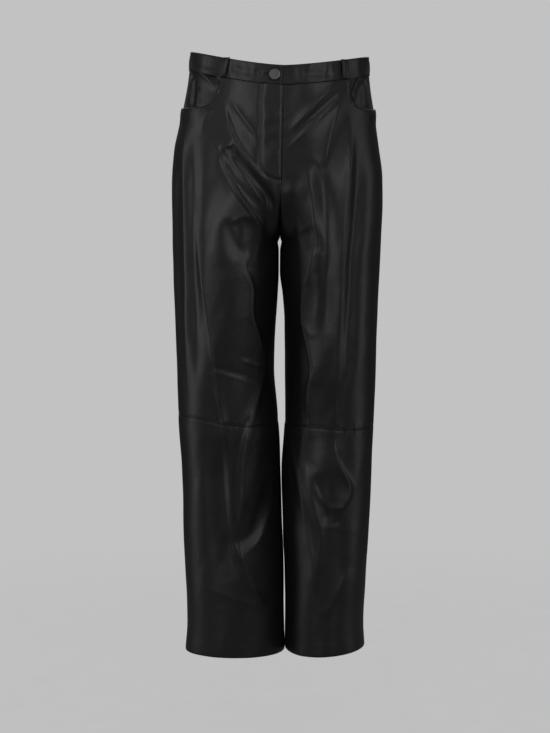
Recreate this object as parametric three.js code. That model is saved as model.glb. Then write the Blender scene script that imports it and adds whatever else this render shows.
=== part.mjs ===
import * as THREE from 'three';

// Straight-legged leather trousers as they hang when worn, hollow from the waist to the hems.
// Millimetres, +Z up. The front faces -Y, and the wearer's left is +X.
// The origin is the middle of the waist opening, a little below the band's top edge at the sides.

// Driving sizes
const wall = 2;
const seamGap = 0.3;
const crotchLevel = -304;

// The levels of the seam across each knee and of each hem, at the inner and the outer seam
const ends = {
  kneeTurns: { from: 0.35, to: 0.75 }, // the share of the width over which the level changes
  hemTurns: { from: 0.2, to: 0.9 },
  right: { kneeInner: -619, kneeOuter: -606, hemInner: -1024, hemOuter: -1023 },
  left: { kneeInner: -620, kneeOuter: -626, hemInner: -1020, hemOuter: -1013 },
};

// Waistband: a band that dips at the centre front and back and tilts a little from side to side
const band = {
  height: 32, wall: 3, proud: 1, sideLevel: 7, dip: { front: 20.5, back: 14 }, dipPower: 1.5,
  tilt: -4.2, lapEnd: 3.5, underlapEnd: -26, stepStart: 4,
};

// Fly: the right front laps over the left, with a facing behind it and a closed zip
const fly = {
  underlap: 14, step: 4.2, stepStart: 5, stepRamp: 50, stepFade: 26, bottom: -203,
  curveStart: -165, width: 36,
  facingWall: 1.2, facingGap: 0.55, facingInset: 1,
  zipTop: -50, zipBottom: -192, zipLeft: -21, zipRight: 5, zipWall: 1.4,
};

// Pocket mouths: a scoop that drops from the waist seam and turns out to the side seam
const pocket = {
  start: { right: 100, left: 110.5 }, sideEnd: { right: -84, left: -86 }, corner: 3,
  lift: 3, liftFrom: 18, liftTo: 50, liftHeight: 30, liftEnd: 4,
  facingDrop: 14, facingBehind: 14, facingWall: 1.6,
};

const loops = { width: 12, wall: 1.6, arch: 2.8, over: 0.2 };
const button = {
  x: -9, z: -29, radius: 10, face: 8.7, thick: 2.6, shank: 4.5, shankHeight: 1.6,
  bevel: 0.6, rim: 0.5, dish: 0.4, sides: 28,
};

// Columns and rows of each piece's surface
const grids = {
  front: [24, 30], back: [15, 20], shin: [19, 18], calf: [13, 12], waistband: [48, 2],
  pocketFacing: [9, 6], flyFacing: [4, 14], flyZip: [3, 10], beltLoop: [3, 8],
};

// Where the cross-section turns from one shape round both hips to one ring for each leg
const split = {
  top: -190, bottom: -330, settled: -380, frontRise: -200, backRise: -215,
  nearSeam: 2, farFromSeam: 26, seamDepth: 5, hipPower: 2.3, legPower: 2.1,
};

// Turns rows of numbers into rows with named columns
function named(columns, rows) {
  return rows.map((row) => Object.fromEntries(columns.map((key, i) => [key, row[i]])));
}

// Each row is one level: how far the cloth reaches to each side, to the front and to the back, and
// how far back the side seam lies
const sections = named(
  ['z', 'outRight', 'outLeft', 'frontRight', 'frontLeft', 'backRight', 'backLeft', 'side'],
  [
    [14, 151, 150, 103, 103, 96, 96, -3],
    [-37, 156.2, 152.6, 107, 107, 103, 103, -1],
    [-90, 166.5, 160, 112, 112, 112, 112, 2],
    [-120, 173.6, 164.5, 113, 113, 117, 117, 4],
    [-154, 180.6, 169.6, 113, 113, 121, 121, 5],
    [-205, 184.4, 175.6, 112, 112, 124, 124, 6],
    [-250, 185.3, 176.2, 112, 112, 119, 119, 6],
    [-304, 184.8, 173.8, 112, 112, 107, 107, 4],
    [-360, 183, 171, 110, 110, 97, 97, 2],
    [-450, 180.3, 167.6, 104, 104, 88, 88, -1],
    [-530, 177.6, 165.2, 98, 99, 81, 82, -4],
    [-617, 175.2, 162.3, 91, 94, 74, 78, -8],
    [-700, 169.9, 159, 86, 94, 70, 78, -7],
    [-800, 168, 155.2, 80, 93, 68, 79, -6],
    [-900, 164, 149.4, 76, 92, 66, 80, -5],
    [-970, 162, 146, 75, 92, 65, 80.5, -5],
    [-1020, 165, 148.7, 74, 92, 64, 81, -5],
  ],
);

// Where each leg's inner side lies, from the crotch to the hem
const insides = [
  { z: -304, right: 0, left: 0 },
  { z: -311, right: -3.2, left: 2.2 },
  { z: -325, right: -1.6, left: 0 },
  { z: -360, right: -2.1, left: 0 },
  { z: -402, right: -4, left: 4.8 },
  { z: -452, right: -6.6, left: 7.6 },
  { z: -530, right: -10, left: 8.3 },
  { z: -604, right: -4, left: 9 },
  { z: -645, right: -0.5, left: 6.8 },
  { z: -706, right: 1.4, left: 2.4 },
  { z: -808, right: 4.2, left: 5.2 },
  { z: -888, right: 7, left: 8 },
  { z: -1020, right: 8, left: 9 },
];

// The centre front edge of the lapping right front, down to the crotch
const flyEdges = [
  { z: -46, x: 5 },
  { z: -120, x: 3 },
  { z: -200, x: 1.5 },
  { z: -240, x: 1.5 },
  { z: -304, x: 0 },
];

// The largest folds: each runs along a line of [x, z], rises (or sinks, below zero) by rise, and
// falls away over west on the side of -X and over east on the side of +X
const frontFolds = [
  { name: 'right side ridge', rise: 3.8, west: 10, east: 8,
    line: [[-161, -91], [-161, -173], [-159, -260], [-158, -360], [-157, -480], [-156, -590]] },
  { name: 'right side valley', rise: -3.4, west: 7, east: 11,
    line: [[-145, -104], [-145, -210], [-143, -336], [-141, -450], [-139, -570]] },
  { name: 'right outer ridge', rise: 3.2, west: 6, east: 5,
    line: [[-176, -150], [-177, -250], [-173, -400], [-168, -590]] },
  { name: 'right front edge', rise: 4.5, west: 11, east: 26,
    line: [[-148, -180], [-140, -290], [-126, -400], [-114, -471], [-106, -540], [-93, -616],
           [-88, -670]] },
  { name: 'right hairpin head', rise: 3, west: 7, east: 8,
    line: [[-74, -146], [-90, -146], [-101, -156]] },
  { name: 'right hairpin ridge', rise: 5, west: 12, east: 6,
    line: [[-102, -152], [-91, -180], [-73, -217], [-52, -251], [-37, -280], [-24, -328]] },
  { name: 'right lap ridge', rise: 3.6, west: 10, east: 7,
    line: [[-94, -71], [-86, -104], [-78, -131], [-56, -167], [-30, -197], [-8, -210]] },
  { name: 'right lap valley', rise: -4.5, west: 8, east: 7,
    line: [[-80, -152], [-54, -186], [-24, -225], [-10, -255]] },
  { name: 'right short ridge', rise: 1.2, west: 6, east: 6,
    line: [[-83, -70], [-58, -104], [-34, -134]] },
  { name: 'right thigh hollow', rise: -3.4, west: 16, east: 12,
    line: [[-85, -262], [-76, -304], [-58, -340]] },
  { name: 'right inner edge', rise: 7, west: 30, east: 12,
    line: [[-20, -326], [-58, -345], [-49, -386], [-50, -430], [-36, -482], [-28, -513],
           [-44, -590], [-56, -650]] },
  { name: 'right knee crease', rise: -0.9, west: 8, east: 8,
    line: [[-122, -514], [-100, -520], [-70, -530], [-34, -545], [-18, -552]] },
  { name: 'right shin ridge', rise: 3.6, west: 16, east: 9,
    line: [[-98, -580], [-93, -630], [-84, -690], [-81, -748], [-76, -820]] },
  { name: 'right shin inner ridge', rise: 8.5, west: 6, east: 22,
    line: [[-47, -585], [-56, -632], [-62, -685], [-64, -748], [-74, -817]] },
  { name: 'right shin hollow', rise: -2, west: 7, east: 7,
    line: [[-73, -636], [-72, -715], [-74, -800]] },
  { name: 'right shin inner hollow', rise: -2.6, west: 10, east: 17,
    line: [[-72, -828], [-48, -806], [-34, -774], [-22, -736], [-14, -690]] },
  { name: 'right shin fork', rise: 4.4, west: 9, east: 14,
    line: [[-75, -818], [-63, -853], [-49, -896], [-26, -938]] },
  { name: 'right shin branch', rise: 2.2, west: 8, east: 11,
    line: [[-62, -842], [-36, -818], [-22, -786], [-12, -750]] },
  { name: 'right shin valley', rise: -7, west: 27, east: 9,
    line: [[-102, -630], [-99, -700], [-95, -763], [-88, -830], [-78, -894]] },
  { name: 'left lap ridge', rise: 3.2, west: 7, east: 7,
    line: [[98, -40], [84, -53], [60, -76], [38, -99], [12, -125]] },
  { name: 'left lap valley', rise: -1.6, west: 6, east: 6,
    line: [[97, -60], [76, -78], [52, -102], [24, -130]] },
  { name: 'left hip ridge', rise: 2.6, west: 7, east: 9,
    line: [[104, -66], [89, -108], [79, -150], [75, -184]] },
  { name: 'left side ridge', rise: 4.2, west: 13, east: 8,
    line: [[113, -74], [119, -131], [115, -190], [107, -288], [101, -403], [97, -504], [94, -590],
           [95, -660]] },
  { name: 'left side valley', rise: -4.8, west: 9, east: 16,
    line: [[131, -108], [130, -230], [121, -340], [116, -450], [114, -560]] },
  { name: 'left thigh valley', rise: -3.8, west: 11, east: 13,
    line: [[60, -167], [72, -212], [79, -300], [76, -413], [73, -491]] },
  { name: 'left thigh ridge', rise: 3.4, west: 12, east: 9,
    line: [[42, -168], [54, -236], [58, -310], [50, -352], [40, -387]] },
  { name: 'left thigh hollow', rise: -2.4, west: 14, east: 12,
    line: [[42, -282], [54, -304], [58, -328]] },
  { name: 'left inner edge', rise: 6, west: 12, east: 26,
    line: [[34, -350], [38, -410], [42, -450], [56, -516], [50, -560], [50, -608], [52, -650]] },
  { name: 'left shin ridge', rise: 4.8, west: 14, east: 9,
    line: [[33, -650], [42, -690], [52, -735], [62, -770], [69, -802], [65, -850], [56, -905],
           [51, -1002]] },
  { name: 'left shin hollow', rise: -3, west: 9, east: 12, line: [[58, -696], [75, -748], [84, -792]] },
  { name: 'left calf bulge', rise: 4.4, west: 24, east: 6,
    line: [[88, -633], [100, -683], [116, -719], [112, -748], [88, -787]] },
  { name: 'left calf crease', rise: 0.6, west: 14, east: 14,
    line: [[60, -790], [88, -790], [116, -797], [158, -808]] },
  { name: 'left hem streak', rise: 2.2, west: 9, east: 10, line: [[75, -950], [97, -905], [121, -862]] },
];

const backFolds = [
  { name: 'right seat fold', rise: 3, west: 14, east: 13,
    line: [[-20, -262], [-70, -306], [-130, -322]] },
  { name: 'right seat fold below', rise: 2.4, west: 13, east: 12,
    line: [[-28, -330], [-80, -362], [-150, -368]] },
  { name: 'right seat hollow', rise: -2.4, west: 12, east: 12,
    line: [[-24, -298], [-72, -336], [-124, -346]] },
  { name: 'right back thigh fold', rise: 3, west: 11, east: 10,
    line: [[-112, -380], [-96, -470], [-104, -600]] },
  { name: 'right knee hollow', rise: -4, west: 10, east: 10,
    line: [[-146, -548], [-92, -572], [-38, -556]] },
  { name: 'right back shin fold', rise: 3.4, west: 10, east: 10,
    line: [[-70, -640], [-84, -760], [-72, -900]] },
  { name: 'left seat fold', rise: 3, west: 13, east: 14, line: [[18, -254], [62, -300], [128, -312]] },
  { name: 'left seat fold below', rise: 2.4, west: 12, east: 13,
    line: [[26, -322], [84, -350], [144, -352]] },
  { name: 'left seat hollow', rise: -2.4, west: 12, east: 12,
    line: [[22, -288], [70, -326], [118, -334]] },
  { name: 'left back thigh fold', rise: 3, west: 10, east: 11,
    line: [[96, -376], [108, -480], [92, -596]] },
  { name: 'left knee hollow', rise: -4, west: 10, east: 10, line: [[34, -566], [86, -586], [138, -560]] },
  { name: 'left back shin fold', rise: 3.4, west: 10, east: 10,
    line: [[92, -650], [76, -770], [88, -920]] },
];

const foldEnds = 0.3; // share of a fold's length over which it rises from nothing
const foldSteps = 14; // straight steps that stand for a fold's curved line
const foldCrest = { rounding: 2.2, reach: 0.72 };
// Folds die out this close to a side seam, to an inner seam and to the line sewn beside the fly
const foldClear = { outer: 9, inner: 16, insideFly: 14, belowFly: 14, aboveFly: 6 };

const { clamp, lerp, smoothstep } = THREE.MathUtils;

// A smooth curve through one column of a table whose rows go downwards, with no overshoot
function column(rows, key) {
  const steps = rows.slice(1).map((row, i) => (row[key] - rows[i][key]) / (row.z - rows[i].z));
  const slopes = rows.map((row, i) => {
    const before = steps[Math.max(i - 1, 0)];
    const after = steps[Math.min(i, steps.length - 1)];
    return before * after > 0 ? (2 * before * after) / (before + after) : 0;
  });
  return (z) => {
    let i = 0;
    while (i < rows.length - 2 && z < rows[i + 1].z) i += 1;
    const span = rows[i + 1].z - rows[i].z;
    const t = clamp((z - rows[i].z) / span, 0, 1);
    const ease = t * t * (3 - 2 * t);
    const bend = span * t * (1 - t) * ((1 - t) * slopes[i] - t * slopes[i + 1]);
    return lerp(rows[i][key], rows[i + 1][key], ease) + bend;
  };
}

const flyEdge = column(flyEdges, 'x');
const sideDepth = column(sections, 'side');
const legs = {
  right: {
    sign: -1, out: column(sections, 'outRight'), inside: column(insides, 'right'),
    front: column(sections, 'frontRight'), back: column(sections, 'backRight'),
  },
  left: {
    sign: 1, out: column(sections, 'outLeft'), inside: column(insides, 'left'),
    front: column(sections, 'frontLeft'), back: column(sections, 'backLeft'),
  },
};

// The x at which a leg's panels end towards the middle, above and below the crotch
function middle(side, half, z) {
  if (z <= crotchLevel) return legs[side].inside(z);
  return half === 'front' ? flyEdge(z) : 0;
}

// How far the cloth lies to the front or back of the origin at one x and z. A leg's round form takes
// up the line of its inner seam only little by little below the crotch
function depthAt(side, half, x, z) {
  const leg = legs[side];
  const reach = half === 'front' ? -leg.front(z) : leg.back(z);
  const seam = sideDepth(z);
  const out = leg.out(z);
  const across = Math.min(Math.abs(x) / out, 1);
  const hip = lerp(seam, reach, (1 - across ** split.hipPower) ** (1 / split.hipPower));
  const mid = middle(side, half, z) * smoothstep(-z, -crotchLevel, -split.settled);
  const radius = Math.abs(leg.sign * out - mid) / 2;
  const q = clamp((x - (leg.sign * out + mid) / 2) / radius, -1, 1);
  const base = lerp(split.seamDepth, seam, (1 + leg.sign * q) / 2);
  const ring = lerp(base, reach, (1 - Math.abs(q) ** split.legPower) ** (1 / split.legPower));
  const rise = half === 'front' ? split.frontRise : split.backRise;
  const fall = clamp((rise - z) / (rise - crotchLevel), 0, 1);
  const atSeam = 1 - Math.sqrt(1 - fall * fall);
  const away = smoothstep(-z, -split.top, -split.bottom);
  const share = lerp(atSeam, away, smoothstep(Math.abs(x - mid), split.nearSeam, split.farFromSeam));
  return lerp(hip, ring, share);
}

// The centre edge of a front: the right one laps, and the left one runs on underneath
function centreEdge(side, half, z) {
  const edge = middle(side, half, z);
  if (half === 'back' || side === 'right') return edge;
  return edge - fly.underlap * smoothstep(z, split.frontRise, split.frontRise + 10);
}

// A point of the plain surface, u from the centre or inner seam (0) to the side seam (1)
function place(side, half, u, z) {
  const leg = legs[side];
  const out = leg.sign * leg.out(z);
  const mid = middle(side, half, z);
  const asHip = out * Math.sin((u * Math.PI) / 2);
  const asRing = (out + mid) / 2 - ((out - mid) / 2) * Math.cos(u * Math.PI);
  const share = smoothstep(-z, -split.top, -split.bottom);
  const plain = lerp(asHip, asRing, share);
  const shift = (centreEdge(side, half, z) - share * mid) * (1 - u) ** 3;
  const x = plain + shift;
  return new THREE.Vector3(x, depthAt(side, half, x, z), z);
}

// Each fold's line as short straight steps
const foldLines = new Map([...frontFolds, ...backFolds].map((fold) => {
  const curve = new THREE.SplineCurve(fold.line.map(([x, z]) => new THREE.Vector2(x, z)));
  return [fold, curve.getPoints(foldSteps)];
}));

// The share of a fold's rise at a distance from its line: a ridge has straight flanks that meet in a
// narrow rounded top, and a hollow is round
function foldShare(rise, distance, width) {
  if (rise < 0) return Math.exp(-((distance / width) ** 2));
  const fromTop = Math.hypot(distance, foldCrest.rounding) - foldCrest.rounding;
  return Math.exp(-fromTop / (foldCrest.reach * width));
}

function foldRise(fold, x, z) {
  const points = foldLines.get(fold);
  let nearest = Infinity;
  let along = 0;
  let beside = 0;
  for (let i = 0; i < foldSteps; i += 1) {
    const a = points[i];
    const dx = points[i + 1].x - a.x;
    const dz = points[i + 1].y - a.y;
    const t = clamp(((x - a.x) * dx + (z - a.y) * dz) / (dx * dx + dz * dz), 0, 1);
    const offX = x - a.x - t * dx;
    const away = Math.hypot(offX, z - a.y - t * dz);
    if (away < nearest) {
      nearest = away;
      along = (i + t) / foldSteps;
      beside = offX;
    }
  }
  const width = beside < 0 ? fold.west : fold.east;
  const fade = smoothstep(along, 0, foldEnds) * smoothstep(1 - along, 0, foldEnds);
  return fold.rise * fade * foldShare(fold.rise, nearest, width);
}

function foldHeight(side, half, x, z) {
  const outer = smoothstep(Math.abs(legs[side].sign * legs[side].out(z) - x), 0, foldClear.outer);
  const laps = half === 'front' && side === 'right';
  const [low, high] = [fly.bottom - foldClear.belowFly, fly.bottom + foldClear.aboveFly];
  const besideFly = laps ? smoothstep(z, low, high) : 0;
  const from = besideFly * (fly.width - foldClear.insideFly);
  const inner = smoothstep(Math.abs(x - middle(side, half, z)), from, from + foldClear.inner);
  const folds = half === 'front' ? frontFolds : backFolds;
  return outer * inner * folds.reduce((sum, fold) => sum + foldRise(fold, x, z), 0);
}

// The front stands off the hip at the outer end of its pocket mouth
function mouthLift(side, x, z) {
  const start = pocket.start[side];
  const end = pocket.sideEnd[side];
  const across = smoothstep(Math.abs(x), start + pocket.liftFrom, start + pocket.liftTo);
  return pocket.lift * across * smoothstep(z, end - pocket.liftHeight, end - pocket.liftEnd);
}

// The left front steps inwards where it runs under the fly
function underlapStep(x, z) {
  const start = flyEdge(z) + fly.stepStart;
  const across = 1 - smoothstep(x, start, start + fly.stepRamp);
  return fly.step * across * smoothstep(z, split.frontRise - fly.stepFade, split.frontRise);
}

// The u at which the hip reaches a share of its width
function shareOf(across) {
  return (2 / Math.PI) * Math.asin(clamp(across, -1, 1));
}

// The level of the band's top edge, u from the centre (0) to the side (1)
function bandTop(side, half, u) {
  const across = Math.sin((u * Math.PI) / 2);
  const dip = band.dip[half] * (1 - Math.abs(across) ** band.dipPower);
  return band.sideLevel + band.tilt * legs[side].sign * across - dip;
}

function waistSeam(side, half, u) {
  return bandTop(side, half, u) - band.height;
}

const stepU = 1e-3; // steps over which a surface's slope is read
const stepX = 0.5;
const stepZ = 0.5;
const stepLoop = 0.01;
const insideSeam = 2e-3;

// The outward normal of a surface given as a function of (a, z)
function normalAt(surface, a, z, stepA, sign) {
  const alongA = surface(a + stepA, z).sub(surface(a - stepA, z));
  const alongZ = surface(a, z + stepZ).sub(surface(a, z - stepZ));
  return alongA.cross(alongZ).normalize().multiplyScalar(sign);
}

// A closed sheet from a grid of places. cell(s, t) gives { point, normal, lift, thick } with s
// across the piece and t down it, and lift is the outer face's height over the plain surface
function sheet(columns, rows, cell) {
  const outer = [];
  const inner = [];
  for (let i = 0; i <= rows; i += 1) {
    for (let j = 0; j <= columns; j += 1) {
      const { point, normal, lift, thick } = cell(j / columns, i / rows);
      outer.push(point.clone().addScaledVector(normal, lift));
      inner.push(point.clone().addScaledVector(normal, lift - thick));
    }
  }
  const faces = [];
  const count = outer.length;
  const index = (i, j) => i * (columns + 1) + j;
  const quad = (a, b, c, d) => faces.push(a, b, c, a, c, d);
  for (let i = 0; i < rows; i += 1) {
    for (let j = 0; j < columns; j += 1) {
      const [a, b, c, d] = [index(i, j), index(i, j + 1), index(i + 1, j + 1), index(i + 1, j)];
      quad(a, b, c, d);
      quad(d + count, c + count, b + count, a + count);
    }
  }
  for (let j = 0; j < columns; j += 1) {
    quad(index(0, j + 1), index(0, j), index(0, j) + count, index(0, j + 1) + count);
    quad(index(rows, j), index(rows, j + 1), index(rows, j + 1) + count, index(rows, j) + count);
  }
  for (let i = 0; i < rows; i += 1) {
    quad(index(i, 0), index(i + 1, 0), index(i + 1, 0) + count, index(i, 0) + count);
    const [top, low] = [index(i, columns), index(i + 1, columns)];
    quad(low, top, top + count, low + count);
  }
  return closedGeometry([...outer, ...inner], faces);
}

// A closed body with its faces turned outwards
function closedGeometry(points, faces) {
  let volume = 0;
  for (let k = 0; k < faces.length; k += 3) {
    const [a, b, c] = [points[faces[k]], points[faces[k + 1]], points[faces[k + 2]]];
    volume += a.dot(b.clone().cross(c));
  }
  const turned = volume > 0 ? faces : faces.toReversed();
  const geometry = new THREE.BufferGeometry();
  const places = points.flatMap((p) => p.toArray());
  geometry.setAttribute('position', new THREE.Float32BufferAttribute(places, 3));
  geometry.setIndex(turned);
  geometry.computeVertexNormals();
  return geometry;
}

// A place on one panel's surface, ready for sheet(). Its normal is read a little inside the side
// and inner seams, where the surface turns back on itself
function panelCell(side, half, u, z, lift, thick) {
  const surface = (a, level) => place(side, half, a, level);
  const sign = legs[side].sign * (half === 'front' ? 1 : -1);
  const beside = clamp(u, insideSeam, 1 - insideSeam);
  return { point: surface(u, z), normal: normalAt(surface, beside, z, stepU, sign), lift, thick };
}

// The same for a narrow piece at the centre front, which is laid out by x instead of u
function flyCell(x, z, lift, thick) {
  const surface = (a, level) => new THREE.Vector3(a, depthAt('right', 'front', a, level), level);
  const point = surface(x, z);
  const folds = foldHeight('right', 'front', x, z);
  return { point, normal: normalAt(surface, x, z, stepX, 1), lift: lift + folds, thick };
}

// Evenly spaced places along a path of { u, z } on a panel
function spaced(side, half, path, count) {
  const points = path.map(({ u, z }) => place(side, half, u, z));
  const lengths = [0];
  for (let i = 1; i < points.length; i += 1) {
    lengths.push(lengths[i - 1] + points[i].distanceTo(points[i - 1]));
  }
  const total = lengths[lengths.length - 1];
  return Array.from({ length: count + 1 }, (_, k) => {
    const target = (total * k) / count;
    let i = 1;
    while (i < lengths.length - 1 && lengths[i] < target) i += 1;
    const t = clamp((target - lengths[i - 1]) / (lengths[i] - lengths[i - 1]), 0, 1);
    return { u: lerp(path[i - 1].u, path[i].u, t), z: lerp(path[i - 1].z, path[i].z, t) };
  });
}

const pathSteps = 80;

// The upper edge of a front: along the waist seam, then round the pocket mouth to the side seam
function frontTopPath(side) {
  const leg = legs[side];
  const start = pocket.start[side];
  const seamAt = (u) => {
    const level = waistSeam(side, 'front', u);
    const { x } = place(side, 'front', u, level);
    return waistSeam(side, 'front', shareOf((leg.sign * x) / leg.out(level))) - seamGap;
  };
  const startU = shareOf(start / leg.out(-band.height));
  const path = [];
  for (let i = 0; i <= pathSteps; i += 1) {
    const u = (startU * i) / pathSteps;
    path.push({ u, z: seamAt(u) });
  }
  const top = seamAt(startU);
  const end = pocket.sideEnd[side];
  for (let i = 1; i <= pathSteps; i += 1) {
    const angle = ((Math.PI / 2) * i) / pathSteps;
    const z = top + (end - top) * Math.sin(angle) ** (2 / pocket.corner);
    const out = leg.out(z);
    const x = out - (out - start) * Math.max(Math.cos(angle), 0) ** (2 / pocket.corner);
    path.push({ u: shareOf(x / out), z });
  }
  return path;
}

// The upper edge of a back: the waist seam from the centre back to the side
function backTopPath(side) {
  const path = [];
  for (let i = 0; i <= pathSteps; i += 1) {
    const u = i / pathSteps;
    path.push({ u, z: waistSeam(side, 'back', u) - seamGap });
  }
  return path;
}

function kneeLevel(side, u) {
  const across = smoothstep(u, ends.kneeTurns.from, ends.kneeTurns.to);
  return lerp(ends[side].kneeInner, ends[side].kneeOuter, across);
}

function hemLevel(side, u) {
  const across = smoothstep(u, ends.hemTurns.from, ends.hemTurns.to);
  return lerp(ends[side].hemInner, ends[side].hemOuter, across);
}

function upperPanel(side, half) {
  const [columns, rows] = grids[half];
  const topPath = half === 'front' ? frontTopPath(side) : backTopPath(side);
  const top = spaced(side, half, topPath, columns);
  return sheet(columns, rows, (s, t) => {
    const start = top[Math.round(s * columns)];
    const u = lerp(start.u, s, 1 - (1 - t) ** 2);
    const z = lerp(start.z, kneeLevel(side, s) + seamGap / 2, t);
    const { x } = place(side, half, u, z);
    let lift = foldHeight(side, half, x, z);
    if (half === 'front') lift += mouthLift(side, x, z);
    if (half === 'front' && side === 'left') lift -= underlapStep(x, z);
    return panelCell(side, half, u, z, lift, wall);
  });
}

function lowerPanel(side, half) {
  return sheet(...grids[half === 'front' ? 'shin' : 'calf'], (s, t) => {
    const z = lerp(kneeLevel(side, s) - seamGap / 2, hemLevel(side, s), t);
    const { x } = place(side, half, s, z);
    return panelCell(side, half, s, z, foldHeight(side, half, x, z), wall);
  });
}

// The hip piece that shows inside a pocket mouth, set behind the front
function pocketFacing(side) {
  const leg = legs[side];
  const lift = -wall - seamGap;
  const innerU = shareOf((pocket.start[side] - pocket.facingBehind) / leg.out(-band.height));
  return sheet(...grids.pocketFacing, (s, t) => {
    const u = lerp(innerU, 1, s);
    const z = lerp(waistSeam(side, 'front', u) - seamGap, pocket.sideEnd[side] - pocket.facingDrop, t);
    return panelCell(side, 'front', u, z, lift, pocket.facingWall);
  });
}

// The facing behind the fly, whose lower edge curves in to the centre like a J
function flyFacing() {
  return sheet(...grids.flyFacing, (s, t) => {
    const z = lerp(waistSeam('right', 'front', 0) - fly.facingInset, fly.bottom + fly.facingInset, t);
    const curve = clamp((fly.curveStart - z) / (fly.curveStart - fly.bottom), 0, 1);
    const width = fly.width * Math.sqrt(1 - curve * curve);
    const right = flyEdge(z) - fly.facingInset / 2;
    return flyCell(lerp(right - width, right, s), z, -wall - fly.facingGap, fly.facingWall);
  });
}

function flyZip() {
  const lift = -fly.step - wall - seamGap;
  return sheet(...grids.flyZip, (s, t) => {
    const z = lerp(fly.zipTop, fly.zipBottom, t);
    return flyCell(lerp(fly.zipLeft, fly.zipRight, s), z, lift, fly.zipWall);
  });
}

// Half of the waistband, from its front end round the side to the centre back
function waistband(side) {
  const leg = legs[side];
  const frontShare = 0.5;
  const endX = side === 'right' ? band.lapEnd : band.underlapEnd;
  const endU = shareOf((leg.sign * endX) / leg.out(0));
  return sheet(...grids.waistband, (s, t) => {
    const half = s <= frontShare ? 'front' : 'back';
    const u = half === 'front' ? lerp(endU, 1, s / frontShare) : (1 - s) / (1 - frontShare);
    const x = leg.sign * leg.out(0) * Math.sin((u * Math.PI) / 2);
    const z = bandTop(side, half, u) - band.height * t;
    const surface = (a, level) => {
      const acrossX = leg.sign * leg.out(level) * Math.sin((a * Math.PI) / 2);
      return new THREE.Vector3(acrossX, depthAt(side, a > 1 ? 'back' : 'front', acrossX, level), level);
    };
    const a = half === 'front' ? u : 2 - u;
    let lift = band.proud;
    if (side === 'left' && half === 'front') {
      const start = band.lapEnd + band.stepStart;
      lift -= (band.wall + seamGap) * (1 - smoothstep(x, start, start + fly.stepRamp));
    }
    const normal = normalAt(surface, a, z, stepU, leg.sign);
    return { point: surface(a, z), normal, lift, thick: band.wall };
  });
}

// A belt loop: a strap over the band, fast at both ends and arched in between
function beltLoop({ side, half, u, slant }) {
  const surface = (a, level) => place(side, half, a, level);
  const top = bandTop(side, half, u) + loops.over;
  const bottom = waistSeam(side, half, u) - loops.over;
  const perU = surface(u + stepLoop, top).distanceTo(surface(u - stepLoop, top)) / (2 * stepLoop);
  return sheet(...grids.beltLoop, (s, t) => {
    const z = lerp(top, bottom, t);
    const at = u + ((s - 0.5) * loops.width + slant * (t - 0.5)) / perU;
    const arch = loops.arch * Math.sqrt(Math.max(Math.sin(Math.PI * t), 0));
    const lift = band.proud + seamGap + loops.wall + arch;
    return panelCell(side, half, at, z, lift, loops.wall);
  });
}

// The shank button, turned about its own axis and seated on the band
function buttonGeometry() {
  const { radius, face, thick, shank, shankHeight: foot, bevel, rim, dish } = button;
  const profile = [
    [0, 0], [shank, 0], [shank, foot], [radius - bevel, foot], [radius, foot + bevel],
    [radius, foot + thick - bevel], [radius - rim, foot + thick], [face, foot + thick],
    [face - dish, foot + thick - dish], [0, foot + thick - dish / 2],
  ];
  return new THREE.LatheGeometry(profile.map(([r, h]) => new THREE.Vector2(r, h)), button.sides);
}

const leather = new THREE.MeshStandardMaterial({ color: 0x1a1a1c, roughness: 0.42, metalness: 0 });
const hipLeather = new THREE.MeshStandardMaterial({ color: 0x202022, roughness: 0.45, metalness: 0 });
const buttonMetal = new THREE.MeshStandardMaterial({ color: 0x6a6a6c, roughness: 0.35, metalness: 1 });
const zipTape = new THREE.MeshStandardMaterial({ color: 0x141414, roughness: 0.85, metalness: 0 });

const group = new THREE.Group();

function add(name, geometry, material, x, y) {
  const mesh = new THREE.Mesh(geometry, material);
  mesh.name = name;
  mesh.position.set(x, y, 0);
  group.add(mesh);
  return mesh;
}

for (const side of ['right', 'left']) {
  const apart = (legs[side].sign * seamGap) / 2;
  const forward = -seamGap / 2;
  const rearward = seamGap / 2;
  add(`waistband_${side}`, waistband(side), leather.clone(), apart, 0);
  add(`front_${side}`, upperPanel(side, 'front'), leather.clone(), apart, forward);
  add(`pocket_facing_${side}`, pocketFacing(side), hipLeather.clone(), apart, forward);
  add(`back_${side}`, upperPanel(side, 'back'), leather.clone(), apart, rearward);
  add(`shin_${side}`, lowerPanel(side, 'front'), leather.clone(), apart, forward);
  add(`calf_${side}`, lowerPanel(side, 'back'), leather.clone(), apart, rearward);
}

add('fly_facing', flyFacing(), leather.clone(), -seamGap / 2, -seamGap / 2);
add('fly_zip', flyZip(), zipTape, seamGap / 2, -seamGap / 2);

const loopPlaces = [
  { name: 'belt_loop_front_right', side: 'right', half: 'front', u: 0.41, slant: 6 },
  { name: 'belt_loop_front_left', side: 'left', half: 'front', u: 0.5, slant: 1 },
  { name: 'belt_loop_side_right', side: 'right', half: 'back', u: 0.85, slant: 0 },
  { name: 'belt_loop_side_left', side: 'left', half: 'back', u: 0.85, slant: 0 },
  { name: 'belt_loop_back', side: 'left', half: 'back', u: 0, slant: 0 },
];
for (const spot of loopPlaces) {
  const apart = spot.u === 0 ? 0 : (legs[spot.side].sign * seamGap) / 2;
  add(spot.name, beltLoop(spot), leather.clone(), apart, 0);
}

const seat = (a, level) => new THREE.Vector3(a, depthAt('right', 'front', a, level), level);
const facing = normalAt(seat, button.x, button.z, stepX, 1);
const buttonPlace = seat(button.x, button.z).addScaledVector(facing, band.proud + seamGap);
const buttonMesh = add('button', buttonGeometry(), buttonMetal, 0, 0);
buttonMesh.quaternion.setFromUnitVectors(new THREE.Vector3(0, 1, 0), facing);
buttonMesh.position.copy(buttonPlace);

export default group;
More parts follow.
